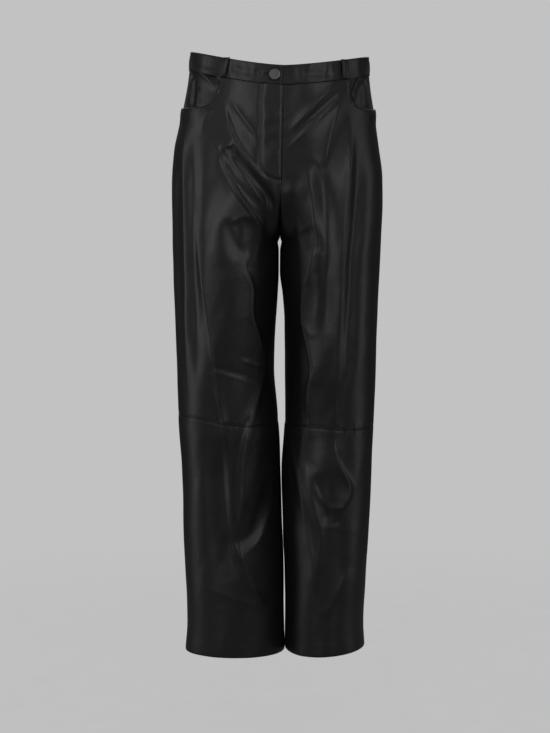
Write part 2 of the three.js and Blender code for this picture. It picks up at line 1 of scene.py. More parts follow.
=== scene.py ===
import math

import bpy
import numpy as np
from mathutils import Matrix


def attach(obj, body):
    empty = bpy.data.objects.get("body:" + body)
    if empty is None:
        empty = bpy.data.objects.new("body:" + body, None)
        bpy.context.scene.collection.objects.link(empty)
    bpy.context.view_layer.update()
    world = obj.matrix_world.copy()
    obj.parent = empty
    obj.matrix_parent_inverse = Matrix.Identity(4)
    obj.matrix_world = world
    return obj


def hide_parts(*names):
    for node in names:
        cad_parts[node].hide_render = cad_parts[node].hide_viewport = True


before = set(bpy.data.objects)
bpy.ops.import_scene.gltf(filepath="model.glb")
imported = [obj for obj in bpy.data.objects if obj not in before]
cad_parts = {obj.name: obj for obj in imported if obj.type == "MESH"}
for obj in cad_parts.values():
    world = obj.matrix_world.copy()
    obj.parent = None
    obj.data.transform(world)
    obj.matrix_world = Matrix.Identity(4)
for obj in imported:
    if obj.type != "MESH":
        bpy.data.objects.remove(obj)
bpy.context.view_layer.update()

# Straight-legged leather trousers. Lengths in the tables below are millimetres, in the frame of the
# model: +Z up, the front towards -Y, the wearer's left towards +X, the origin in the waist opening.
mm = 0.001
scene = bpy.context.scene
scene.view_settings.view_transform = "Standard"


def putInScene(name, data):
    made = bpy.data.objects.new(name, data)
    scene.collection.objects.link(made)
    return made


# Camera

camera = {
    "lens": 100,
    "sensor": 36,
    "place": (-8.5, -3500, -137),
    "tilt": 6.35,  # degrees below level
}


def makeCamera():
    data = bpy.data.cameras.new("camera")
    data.lens = camera["lens"]
    data.sensor_width = camera["sensor"]
    made = putInScene("camera", data)
    made.location = [value * mm for value in camera["place"]]
    made.rotation_euler = (math.radians(90 - camera["tilt"]), 0, 0)
    scene.camera = made


makeCamera()
print("camera set")


# Colours and nodes

def linear(hexColour):
    channels = [int(hexColour[i:i + 2], 16) / 255 for i in (1, 3, 5)]
    return tuple(c / 12.92 if c <= 0.04045 else ((c + 0.055) / 1.055) ** 2.4 for c in channels) + (1.0,)


def addNode(tree, kind, settings=None, links=None):
    node = tree.nodes.new(kind)
    for name, value in (settings or {}).items():
        if name in node.inputs:
            node.inputs[name].default_value = value
        else:
            setattr(node, name, value)
    for name, source in (links or {}).items():
        tree.links.new(source, node.inputs[name])
    return node


def newMaterial(name):
    material = bpy.data.materials.new(name)
    material.use_nodes = True
    material.node_tree.nodes.clear()
    return material, material.node_tree


# Studio: a pale seamless backdrop, a pale floor and soft boxes all round

studio = {
    "backdrop": "#C2C2C2",
    "surround": "#363638",  # what the leather mirrors between the lamps
    "floor": "#BEBEBE",
    "floorLevel": -1105,
    "floorRadius": 1700,
    "floorGrain": 16.7,  # cloudiness of the acrylic
    "floorFadeFrom": 420,  # the floor melts into the backdrop from here outwards
    "lamps": [
        # name, place, width and height, watts, aim
        ("boxLeft", (-1500, -2700, 300), (700, 2400), 19, (0, 0, -480)),
        ("boxRight", (1500, -2700, 300), (700, 2400), 15, (0, 0, -480)),
        ("boxTop", (0, -1900, 2100), (2200, 900), 7, (0, 0, -400)),
        ("boxSideLeft", (-2400, -300, -300), (600, 2300), 10, (0, 0, -480)),
        ("boxSideRight", (2400, -300, -300), (600, 2300), 6, (0, 0, -480)),
        ("boxBackLeft", (-1300, 2400, 1300), (900, 1600), 11, (0, 0, -420)),
        ("boxBackRight", (1300, 2400, 1300), (900, 1600), 11, (0, 0, -420)),
    ],
}


def makeWorld():
    world = bpy.data.worlds.new("backdrop")
    world.use_nodes = True
    tree = world.node_tree
    tree.nodes.clear()
    seen = addNode(tree, "ShaderNodeBackground", {"Color": linear(studio["backdrop"])})
    around = addNode(tree, "ShaderNodeBackground", {"Color": linear(studio["surround"])})
    ray = addNode(tree, "ShaderNodeLightPath")
    mix = addNode(tree, "ShaderNodeMixShader", links={"Fac": ray.outputs["Is Camera Ray"]})
    tree.links.new(around.outputs[0], mix.inputs[1])
    tree.links.new(seen.outputs[0], mix.inputs[2])
    addNode(tree, "ShaderNodeOutputWorld", links={"Surface": mix.outputs[0]})
    scene.world = world


def makeLamps():
    for name, place, (width, height), watts, aim in studio["lamps"]:
        data = bpy.data.lights.new(name, "AREA")
        data.shape = "RECTANGLE"
        data.size = width * mm
        data.size_y = height * mm
        data.energy = watts
        lamp = putInScene(name, data)
        start = np.array(place, float)
        toward = np.array(aim, float) - start
        flat = math.hypot(toward[0], toward[1])
        lamp.location = start * mm
        turn = math.atan2(toward[1], toward[0]) - math.pi / 2
        lamp.rotation_euler = (math.atan2(flat, -toward[2]), 0, turn)
        lamp.visible_camera = False


def opalAcrylicTable():
    # Opal acrylic lit from below, as a light table: an even pale grey that takes only a faint shadow
    material, tree = newMaterial("opalAcrylicTable")
    grain = addNode(tree, "ShaderNodeTexNoise", {"Scale": 1 / (studio["floorGrain"] * mm), "Detail": 3.0})
    tone = addNode(tree, "ShaderNodeMix", {"data_type": "RGBA"}, {"Factor": grain.outputs["Fac"]})
    tone.inputs[6].default_value = linear(studio["floor"])
    tone.inputs[7].default_value = linear(studio["backdrop"])
    ray = addNode(tree, "ShaderNodeLightPath")
    glow = addNode(tree, "ShaderNodeMapRange", {"To Min": 0.15, "To Max": 0.95},
                   {"Value": ray.outputs["Is Camera Ray"]})
    sheet = addNode(tree, "ShaderNodeBsdfPrincipled",
                    {"Roughness": 0.8, "Specular IOR Level": 0.1, "Base Color": linear("#404040")},
                    {"Emission Color": tone.outputs[2], "Emission Strength": glow.outputs["Result"]})
    clear = addNode(tree, "ShaderNodeBsdfTransparent")
    where = addNode(tree, "ShaderNodeTexCoord")
    reach = addNode(tree, "ShaderNodeVectorMath", {"operation": "LENGTH"}, {0: where.outputs["Object"]})
    fade = addNode(tree, "ShaderNodeMapRange",
                   {"From Min": studio["floorFadeFrom"] * mm, "From Max": studio["floorRadius"] * mm,
                    "interpolation_type": "SMOOTHERSTEP"}, {"Value": reach.outputs["Value"]})
    mix = addNode(tree, "ShaderNodeMixShader", links={"Fac": fade.outputs["Result"]})
    tree.links.new(sheet.outputs[0], mix.inputs[1])
    tree.links.new(clear.outputs[0], mix.inputs[2])
    addNode(tree, "ShaderNodeOutputMaterial", links={"Surface": mix.outputs[0]})
    return material


def makeFloor():
    sides = 96
    radius = studio["floorRadius"] * mm
    angles = np.linspace(0, 2 * math.pi, sides, endpoint=False)
    rim = [(math.cos(angle) * radius, math.sin(angle) * radius, 0) for angle in angles]
    mesh = bpy.data.meshes.new("floor")
    mesh.from_pydata(rim, [], [tuple(range(sides))])
    mesh.materials.append(opalAcrylicTable())
    floor = putInScene("floor", mesh)
    floor.location = (0, 0, studio["floorLevel"] * mm)


makeWorld()
makeLamps()
makeFloor()
print("studio set")


# Materials of the trousers

def smoothNappa():
    # Full-grain lamb nappa, drum-dyed black with a pigment and wax finish: soft wide highlights, a very
    # fine pebble and faint handling marks. The pebble is 0.6 mm on the skin and the pores 0.3 mm, and
    # they are drawn at 1.6 and 2.38 mm, so that they show.
    sizes = {"pebble": 1.6, "pores": 2.38, "handling": 29.4, "patches": 143}
    material, tree = newMaterial("smoothNappa")
    where = addNode(tree, "ShaderNodeTexCoord")
    cells = addNode(tree, "ShaderNodeTexVoronoi",
                    {"feature": "SMOOTH_F1", "Scale": 1 / (sizes["pebble"] * mm), "Smoothness": 0.7,
                     "Randomness": 0.9}, {"Vector": where.outputs["Object"]})
    pores = addNode(tree, "ShaderNodeTexNoise",
                    {"Scale": 1 / (sizes["pores"] * mm), "Detail": 4.0, "Roughness": 0.6},
                    {"Vector": where.outputs["Object"]})
    handling = addNode(tree, "ShaderNodeTexNoise",
                       {"Scale": 1 / (sizes["handling"] * mm), "Detail": 5.0, "Roughness": 0.55,
                        "Distortion": 0.4}, {"Vector": where.outputs["Object"]})
    patches = addNode(tree, "ShaderNodeTexNoise", {"Scale": 1 / (sizes["patches"] * mm), "Detail": 2.0},
                      {"Vector": where.outputs["Object"]})
    tone = addNode(tree, "ShaderNodeMix", {"data_type": "RGBA"}, {"Factor": patches.outputs["Fac"]})
    tone.inputs[6].default_value = linear("#141416")
    tone.inputs[7].default_value = linear("#1c1c1f")
    gloss = addNode(tree, "ShaderNodeMapRange", {"To Min": 0.36, "To Max": 0.47},
                    {"Value": handling.outputs["Fac"]})
    fine = addNode(tree, "ShaderNodeBump", {"Strength": 0.22, "Distance": 0.0004},
                   {"Height": cells.outputs["Distance"]})
    porous = addNode(tree, "ShaderNodeBump", {"Strength": 0.16, "Distance": 0.0005},
                     {"Height": pores.outputs["Fac"], "Normal": fine.outputs["Normal"]})
    marks = addNode(tree, "ShaderNodeBump", {"Strength": 0.45, "Distance": 0.0016},
                    {"Height": handling.outputs["Fac"], "Normal": porous.outputs["Normal"]})
    skin = addNode(tree, "ShaderNodeBsdfPrincipled", {"Specular IOR Level": 0.5, "IOR": 1.5},
                   {"Base Color": tone.outputs[2], "Roughness": gloss.outputs["Result"],
                    "Normal": marks.outputs["Normal"]})
    addNode(tree, "ShaderNodeOutputMaterial", links={"Surface": skin.outputs[0]})
    return material


def suedeFleshSide():
    # The skin's split side, buffed: a short matt nap that swallows light. The nap is 0.4 mm long and is
    # drawn at 1.43 mm, so that it shows.
    napSize = 1.43
    material, tree = newMaterial("suedeFleshSide")
    where = addNode(tree, "ShaderNodeTexCoord")
    nap = addNode(tree, "ShaderNodeTexNoise",
                  {"Scale": 1 / (napSize * mm), "Detail": 6.0, "Roughness": 0.7},
                  {"Vector": where.outputs["Object"]})
    tone = addNode(tree, "ShaderNodeMix", {"data_type": "RGBA"}, {"Factor": nap.outputs["Fac"]})
    tone.inputs[6].default_value = linear("#141415")
    tone.inputs[7].default_value = linear("#262628")
    relief = addNode(tree, "ShaderNodeBump", {"Strength": 0.5, "Distance": 0.0006},
                     {"Height": nap.outputs["Fac"]})
    hide = addNode(tree, "ShaderNodeBsdfPrincipled",
                   {"Roughness": 0.92, "Sheen Weight": 0.15, "Sheen Roughness": 0.5},
                   {"Base Color": tone.outputs[2], "Normal": relief.outputs["Normal"]})
    addNode(tree, "ShaderNodeOutputMaterial", links={"Surface": hide.outputs[0]})
    return material


def bondedPolyesterThread():
    # Bonded polyester, twisted: a little duller than the skin, with strands along the lay. They are
    # 0.35 mm apart and are drawn at 0.69 mm, so that they show. At scale 1 a wave has 20 radians a metre.
    strands = 0.69
    material, tree = newMaterial("bondedPolyesterThread")
    where = addNode(tree, "ShaderNodeTexCoord")
    lay = addNode(tree, "ShaderNodeTexWave",
                  {"Scale": 2 * math.pi / 20 / (strands * mm), "Distortion": 0.5, "wave_profile": "SIN"},
                  {"Vector": where.outputs["Object"]})
    tone = addNode(tree, "ShaderNodeMix", {"data_type": "RGBA"}, {"Factor": lay.outputs["Fac"]})
    tone.inputs[6].default_value = linear("#070708")
    tone.inputs[7].default_value = linear("#111113")
    relief = addNode(tree, "ShaderNodeBump", {"Strength": 0.4, "Distance": 0.0002},
                     {"Height": lay.outputs["Fac"]})
    thread = addNode(tree, "ShaderNodeBsdfPrincipled", {"Roughness": 0.6},
                     {"Base Color": tone.outputs[2], "Normal": relief.outputs["Normal"]})
    addNode(tree, "ShaderNodeOutputMaterial", links={"Surface": thread.outputs[0]})
    return material


def wovenZipTape():
    # Polyester twill tape, heat-set: matt, with ribs 0.8 mm apart that are drawn at 3.16 mm, so that they
    # show. At scale 1 a slanted wave has 10 radians a metre along each axis.
    ribSpacing = 3.16
    material, tree = newMaterial("wovenZipTape")
    where = addNode(tree, "ShaderNodeTexCoord")
    ribs = addNode(tree, "ShaderNodeTexWave",
                   {"Scale": 2 * math.pi / 10 / (ribSpacing * mm), "bands_direction": "DIAGONAL"},
                   {"Vector": where.outputs["Object"]})
    tone = addNode(tree, "ShaderNodeMix", {"data_type": "RGBA"}, {"Factor": ribs.outputs["Fac"]})
    tone.inputs[6].default_value = linear("#0c0c0d")
    tone.inputs[7].default_value = linear("#1a1a1b")
    relief = addNode(tree, "ShaderNodeBump", {"Strength": 0.5, "Distance": 0.0003},
                     {"Height": ribs.outputs["Fac"]})
    tape = addNode(tree, "ShaderNodeBsdfPrincipled", {"Roughness": 0.85},
                   {"Base Color": tone.outputs[2], "Normal": relief.outputs["Normal"]})
    addNode(tree, "ShaderNodeOutputMaterial", links={"Surface": tape.outputs[0]})
    return material


def brushedGunmetal():
    # Zinc alloy plated with black nickel and brushed across its face: grey, with soft streaks 6.67 mm
    # long. They are 0.1 mm wide and are drawn 9 times narrower than long, so that they show.
    streaks = {"long": 6.67, "narrower": 9.0}
    material, tree = newMaterial("brushedGunmetal")
    where = addNode(tree, "ShaderNodeTexCoord")
    stretch = addNode(tree, "ShaderNodeMapping", {"Scale": (1.0, streaks["narrower"], streaks["narrower"])},
                      {"Vector": where.outputs["Object"]})
    brush = addNode(tree, "ShaderNodeTexNoise", {"Scale": 1 / (streaks["long"] * mm), "Detail": 5.0},
                    {"Vector": stretch.outputs["Vector"]})
    tone = addNode(tree, "ShaderNodeMix", {"data_type": "RGBA"}, {"Factor": brush.outputs["Fac"]})
    tone.inputs[6].default_value = linear("#5a5c5e")
    tone.inputs[7].default_value = linear("#86888a")
    gloss = addNode(tree, "ShaderNodeMapRange", {"To Min": 0.38, "To Max": 0.52},
                    {"Value": brush.outputs["Fac"]})
    relief = addNode(tree, "ShaderNodeBump", {"Strength": 0.25, "Distance": 0.0002},
                     {"Height": brush.outputs["Fac"]})
    metal = addNode(tree, "ShaderNodeBsdfPrincipled", {"Metallic": 1.0},
                    {"Base Color": tone.outputs[2], "Roughness": gloss.outputs["Result"],
                     "Normal": relief.outputs["Normal"]})
    addNode(tree, "ShaderNodeOutputMaterial", links={"Surface": metal.outputs[0]})
    return material


def platedBlackNickel():
    # The rim of the same casting, tumbled and left dark: a duller, nearly black metal. The marks of the
    # stones are 0.2 mm wide and are drawn at 1.11 mm, so that they show.
    tumbleMarks = 1.11
    material, tree = newMaterial("platedBlackNickel")
    where = addNode(tree, "ShaderNodeTexCoord")
    tumble = addNode(tree, "ShaderNodeTexNoise", {"Scale": 1 / (tumbleMarks * mm), "Detail": 4.0},
                     {"Vector": where.outputs["Object"]})
    tone = addNode(tree, "ShaderNodeMix", {"data_type": "RGBA"}, {"Factor": tumble.outputs["Fac"]})
    tone.inputs[6].default_value = linear("#050505")
    tone.inputs[7].default_value = linear("#0a0a0b")
    gloss = addNode(tree, "ShaderNodeMapRange", {"To Min": 0.5, "To Max": 0.65},
                    {"Value": tumble.outputs["Fac"]})
    metal = addNode(tree, "ShaderNodeBsdfPrincipled", {"Metallic": 1.0},
                    {"Base Color": tone.outputs[2], "Roughness": gloss.outputs["Result"]})
    addNode(tree, "ShaderNodeOutputMaterial", links={"Surface": metal.outputs[0]})
    return material


finishes = {
    "nappa": smoothNappa(),
    "suede": suedeFleshSide(),
    "thread": bondedPolyesterThread(),
    "tape": wovenZipTape(),
    "gunmetal": brushedGunmetal(),
    "blackNickel": platedBlackNickel(),
}
print("materials made")


# The plain form that all the panels lie on

seamGap = 0.3
wall = 2
crotchLevel = -304

split = {
    "top": -190, "bottom": -330, "settled": -380, "frontRise": -200, "backRise": -215,
    "nearSeam": 2, "farFromSeam": 26, "seamDepth": 5, "hipPower": 2.3, "legPower": 2.1,
}

# Levels of the seam across each knee and of each hem, at the inner and at the outer seam
ends = {
    "right": {"kneeInner": -619, "kneeOuter": -606, "hemInner": -1024, "hemOuter": -1023},
    "left": {"kneeInner": -620, "kneeOuter": -626, "hemInner": -1020, "hemOuter": -1013},
    "kneeTurn": (0.35, 0.75), "hemTurn": (0.2, 0.9),  # where across the leg the level changes
}

# Half widths and depths of the plain form at each level, and the depth of its side seams
sectionColumns = ("z", "outRight", "outLeft", "frontRight", "frontLeft", "backRight", "backLeft", "side")
sections = [
    (14, 151, 150, 103, 103, 96, 96, -3),
    (-37, 156.2, 152.6, 107, 107, 103, 103, -1),
    (-90, 166.5, 160, 112, 112, 112, 112, 2),
    (-120, 173.6, 164.5, 113, 113, 117, 117, 4),
    (-154, 180.6, 169.6, 113, 113, 121, 121, 5),
    (-205, 184.4, 175.6, 112, 112, 124, 124, 6),
    (-250, 185.3, 176.2, 112, 112, 119, 119, 6),
    (-304, 184.8, 173.8, 112, 112, 107, 107, 4),
    (-360, 183, 171, 110, 110, 97, 97, 2),
    (-450, 180.3, 167.6, 104, 104, 88, 88, -1),
    (-530, 177.6, 165.2, 98, 99, 81, 82, -4),
    (-617, 175.2, 162.3, 91, 94, 74, 78, -8),
    (-700, 169.9, 159, 86, 94, 70, 78, -7),
    (-800, 168, 155.2, 80, 93, 68, 79, -6),
    (-900, 164, 149.4, 76, 92, 66, 80, -5),
    (-970, 162, 146, 75, 92, 65, 80.5, -5),
    (-1020, 165, 148.7, 74, 92, 64, 81, -5),
]

# Where along X each leg's inner seam runs
insideColumns = ("z", "right", "left")
insides = [
    (-304, 0, 0), (-311, -3.2, 2.2), (-325, -1.6, 0), (-360, -2.1, 0), (-402, -4, 4.8),
    (-452, -6.6, 7.6), (-530, -10, 8.3), (-604, -4, 9), (-645, -0.5, 6.8), (-706, 1.4, 2.4),
    (-808, 4.2, 5.2), (-888, 7, 8), (-1020, 8, 9),
]

# Level and X of the right front's edge, above the crotch
flyEdges = [(-46, 5), (-120, 3), (-200, 1.5), (-240, 1.5), (-304, 0)]


def smoothstep(value, low, high):
    t = np.clip((value - low) / (high - low), 0, 1)
    return t * t * (3 - 2 * t)


def lerp(a, b, t):
    return a + (b - a) * t


def hump(distance, width):
    return np.exp(-(distance / width) ** 2)


def crest(distance, width):
    # A ridge with straight flanks that meet in a narrow rounded top
    rounded = np.sqrt(distance ** 2 + foldShape["crest"] ** 2) - foldShape["crest"]
    return np.exp(-rounded / (foldShape["flank"] * width))


def column(rows, index):
    # A smooth curve through one column of a table whose rows go downwards, with no overshoot
    z = np.array([row[0] for row in rows], float)
    value = np.array([row[index] for row in rows], float)
    step = np.diff(value) / np.diff(z)
    before = np.concatenate([step[:1], step])
    after = np.concatenate([step, step[-1:]])
    same = before * after > 0
    slope = np.where(same, 2 * before * after / np.where(same, before + after, 1), 0)

    def at(level):
        level = np.asarray(level, float)
        i = np.clip(np.searchsorted(-z, -level, side="left") - 1, 0, len(z) - 2)
        span = z[i + 1] - z[i]
        t = np.clip((level - z[i]) / span, 0, 1)
        ease = t * t * (3 - 2 * t)
        bend = span * t * (1 - t) * ((1 - t) * slope[i] - t * slope[i + 1])
        return lerp(value[i], value[i + 1], ease) + bend

    return at


flyEdge = column(flyEdges, 1)
sideDepth = column(sections, sectionColumns.index("side"))
legs = {
    side: {
        "sign": sign,
        "out": column(sections, sectionColumns.index("out" + word)),
        "front": column(sections, sectionColumns.index("front" + word)),
        "back": column(sections, sectionColumns.index("back" + word)),
        "inside": column(insides, insideColumns.index(side)),
    }
    for side, sign, word in (("right", -1, "Right"), ("left", 1, "Left"))
}


def middle(side, half, z):
    # The x at which a leg's panels end towards the middle
    above = flyEdge(z) if half == "front" else np.zeros_like(z)
    return np.where(z <= crotchLevel, legs[side]["inside"](z), above)


def depthAt(side, half, x, z):
    # How far the cloth lies to the front or back of the origin. A leg's round form takes up the line of
    # its inner seam only little by little below the crotch.
    leg = legs[side]
    reach = -leg["front"](z) if half == "front" else leg["back"](z)
    seam = sideDepth(z)
    out = leg["out"](z)
    across = np.minimum(np.abs(x) / out, 1)
    hip = lerp(seam, reach, (1 - across ** split["hipPower"]) ** (1 / split["hipPower"]))
    mid = middle(side, half, z) * smoothstep(-z, -crotchLevel, -split["settled"])
    radius = np.abs(leg["sign"] * out - mid) / 2
    q = np.clip((x - (leg["sign"] * out + mid) / 2) / radius, -1, 1)
    base = lerp(split["seamDepth"], seam, (1 + leg["sign"] * q) / 2)
    ring = lerp(base, reach, (1 - np.abs(q) ** split["legPower"]) ** (1 / split["legPower"]))
    rise = split["frontRise"] if half == "front" else split["backRise"]
    fall = np.clip((rise - z) / (rise - crotchLevel), 0, 1)
    atSeam = 1 - np.sqrt(1 - fall * fall)
    away = smoothstep(-z, -split["top"], -split["bottom"])
    share = lerp(atSeam, away, smoothstep(np.abs(x - mid), split["nearSeam"], split["farFromSeam"]))
    return lerp(hip, ring, share)


fly = {
    "bottom": -203, "curveStart": -165, "width": 36,
    "underlap": 14, "underlapFade": 10,
    "step": 4.2, "stepStart": 5, "stepRamp": 50, "stepFade": 26,  # the left front steps in under the fly
    "facingWall": 1.2, "facingGap": 0.55, "facingInset": 1, "facingFromEdge": 0.5,
    "zipTop": -50, "zipBottom": -192, "zipLeft": -21, "zipRight": 5, "zipWall": 1.4,
    "groove": 1.3, "grooveWidth": 2.5, "sway": 1, "swayLength": 17,  # the pressed line of the J
    "pad": 0.8, "padEdge": 9, "dimples": 0.5,  # the pad inside the J
    "padFade": (-12, -2), "edgeFade": (-4, 8),  # from the bottom: where the relief begins
}


def place(side, half, u, z):
    # A point of the plain form, u from the centre or inner seam (0) to the side seam (1)
    leg = legs[side]
    out = leg["sign"] * leg["out"](z)
    mid = middle(side, half, z)
    asHip = out * np.sin(u * math.pi / 2)
    asRing = (out + mid) / 2 - (out - mid) / 2 * np.cos(u * math.pi)
    share = smoothstep(-z, -split["top"], -split["bottom"])
    edge = mid
    if half == "front" and side == "left":
        bottom = split["frontRise"]
        edge = mid - fly["underlap"] * smoothstep(z, bottom, bottom + fly["underlapFade"])
    x = lerp(asHip, asRing, share) + (edge - share * mid) * (1 - u) ** 3
    return np.stack([x, depthAt(side, half, x, z), z], axis=-1)


def normalOf(surface, a, z, stepA, sign):
    alongA = surface(a + stepA, z) - surface(a - stepA, z)
    alongZ = surface(a, z + 0.5) - surface(a, z - 0.5)
    normal = np.cross(alongA, alongZ)
    return sign * normal / np.linalg.norm(normal, axis=-1, keepdims=True)


def panelNormal(side, half, u, z):
    # Read a little inside the side and inner seams, where the surface turns back on itself
    sign = legs[side]["sign"] * (1 if half == "front" else -1)
    beside = np.clip(u, 2e-3, 1 - 2e-3)
    return normalOf(lambda a, level: place(side, half, a, level), beside, z, 1e-3, sign)


# Folds: name, rise, width towards -X, width towards +X, and the line that each one follows

frontFolds = [
    ("right side ridge", 3.8, 10, 8,
     ((-161, -91), (-161, -173), (-159, -260), (-158, -360), (-157, -480), (-156, -590))),
    ("right side valley", -3.4, 7, 11,
     ((-145, -104), (-145, -210), (-143, -336), (-141, -450), (-139, -570))),
    ("right outer ridge", 3.2, 6, 5, ((-176, -150), (-177, -250), (-173, -400), (-168, -590))),
    ("right front edge", 4.5, 11, 26,
     ((-148, -180), (-140, -290), (-126, -400), (-114, -471), (-106, -540), (-93, -616), (-88, -670))),
    ("right hairpin head", 3, 7, 8, ((-74, -146), (-90, -146), (-101, -156))),
    ("right hairpin ridge", 5, 12, 6,
     ((-102, -152), (-91, -180), (-73, -217), (-52, -251), (-37, -280), (-24, -328))),
    ("right lap ridge", 3.6, 10, 7,
     ((-94, -71), (-86, -104), (-78, -131), (-56, -167), (-30, -197), (-8, -210))),
    ("right lap valley", -4.5, 8, 7, ((-80, -152), (-54, -186), (-24, -225), (-10, -255))),
    ("right short ridge", 1.2, 6, 6, ((-83, -70), (-58, -104), (-34, -134))),
    ("right thigh hollow", -3.4, 16, 12, ((-85, -262), (-76, -304), (-58, -340))),
    ("right inner edge", 7, 30, 12,
     ((-20, -326), (-58, -345), (-49, -386), (-50, -430), (-36, -482), (-28, -513), (-44, -590),
      (-56, -650))),
    ("right knee crease", -0.9, 8, 8, ((-122, -514), (-100, -520), (-70, -530), (-34, -545), (-18, -552))),
    ("right shin ridge", 3.6, 16, 9, ((-98, -580), (-93, -630), (-84, -690), (-81, -748), (-76, -820))),
    ("right shin inner ridge", 8.5, 6, 22,
     ((-47, -585), (-56, -632), (-62, -685), (-64, -748), (-74, -817))),
    ("right shin hollow", -2.0, 7, 7, ((-73, -636), (-72, -715), (-74, -800))),
    ("right shin inner hollow", -2.6, 10, 17,
     ((-72, -828), (-48, -806), (-34, -774), (-22, -736), (-14, -690))),
    ("right shin fork", 4.4, 9, 14, ((-75, -818), (-63, -853), (-49, -896), (-26, -938))),
    ("right shin branch", 2.2, 8, 11, ((-62, -842), (-36, -818), (-22, -786), (-12, -750))),
    ("right shin valley", -7, 27, 9, ((-102, -630), (-99, -700), (-95, -763), (-88, -830), (-78, -894))),
    ("left lap ridge", 3.2, 7, 7, ((98, -40), (84, -53), (60, -76), (38, -99), (12, -125))),
    ("left lap valley", -1.6, 6, 6, ((97, -60), (76, -78), (52, -102), (24, -130))),
    ("left hip ridge", 2.6, 7, 9, ((104, -66), (89, -108), (79, -150), (75, -184))),
    ("left side ridge", 4.2, 13, 8,
     ((113, -74), (119, -131), (115, -190), (107, -288), (101, -403), (97, -504), (94, -590), (95, -660))),
    ("left side valley", -4.8, 9, 16, ((131, -108), (130, -230), (121, -340), (116, -450), (114, -560))),
    ("left thigh valley", -3.8, 11, 13, ((60, -167), (72, -212), (79, -300), (76, -413), (73, -491))),
    ("left thigh ridge", 3.4, 12, 9, ((42, -168), (54, -236), (58, -310), (50, -352), (40, -387))),
    ("left thigh hollow", -2.4, 14, 12, ((42, -282), (54, -304), (58, -328))),
    ("left inner edge", 6, 12, 26,
     ((34, -350), (38, -410), (42, -450), (56, -516), (50, -560), (50, -608), (52, -650))),
    ("left shin ridge", 4.8, 14, 9,
     ((33, -650), (42, -690), (52, -735), (62, -770), (69, -802), (65, -850), (56, -905), (51, -1002))),
    ("left shin hollow", -3, 9, 12, ((58, -696), (75, -748), (84, -792))),
    ("left calf bulge", 4.4, 24, 6, ((88, -633), (100, -683), (116, -719), (112, -748), (88, -787))),
    ("left calf crease", 0.6, 14, 14, ((60, -790), (88, -790), (116, -797), (158, -808))),
    ("left hem streak", 2.2, 9, 10, ((75, -950), (97, -905), (121, -862))),
]

backFolds = [
    ("right seat fold", 3, 14, 13, ((-20, -262), (-70, -306), (-130, -322))),
    ("right seat fold below", 2.4, 13, 12, ((-28, -330), (-80, -362), (-150, -368))),
    ("right seat hollow", -2.4, 12, 12, ((-24, -298), (-72, -336), (-124, -346))),
    ("right back thigh fold", 3, 11, 10, ((-112, -380), (-96, -470), (-104, -600))),
    ("right knee hollow", -4, 10, 10, ((-146, -548), (-92, -572), (-38, -556))),
    ("right back shin fold", 3.4, 10, 10, ((-70, -640), (-84, -760), (-72, -900))),
    ("left seat fold", 3, 13, 14, ((18, -254), (62, -300), (128, -312))),
    ("left seat fold below", 2.4, 12, 13, ((26, -322), (84, -350), (144, -352))),
    ("left seat hollow", -2.4, 12, 12, ((22, -288), (70, -326), (118, -334))),
    ("left back thigh fold", 3, 10, 11, ((96, -376), (108, -480), (92, -596))),
    ("left knee hollow", -4, 10, 10, ((34, -566), (86, -586), (138, -560))),
    ("left back shin fold", 3.4, 10, 10, ((92, -650), (76, -770), (88, -920))),
]

# Narrow creases that run along and between the folds, laid out the same way

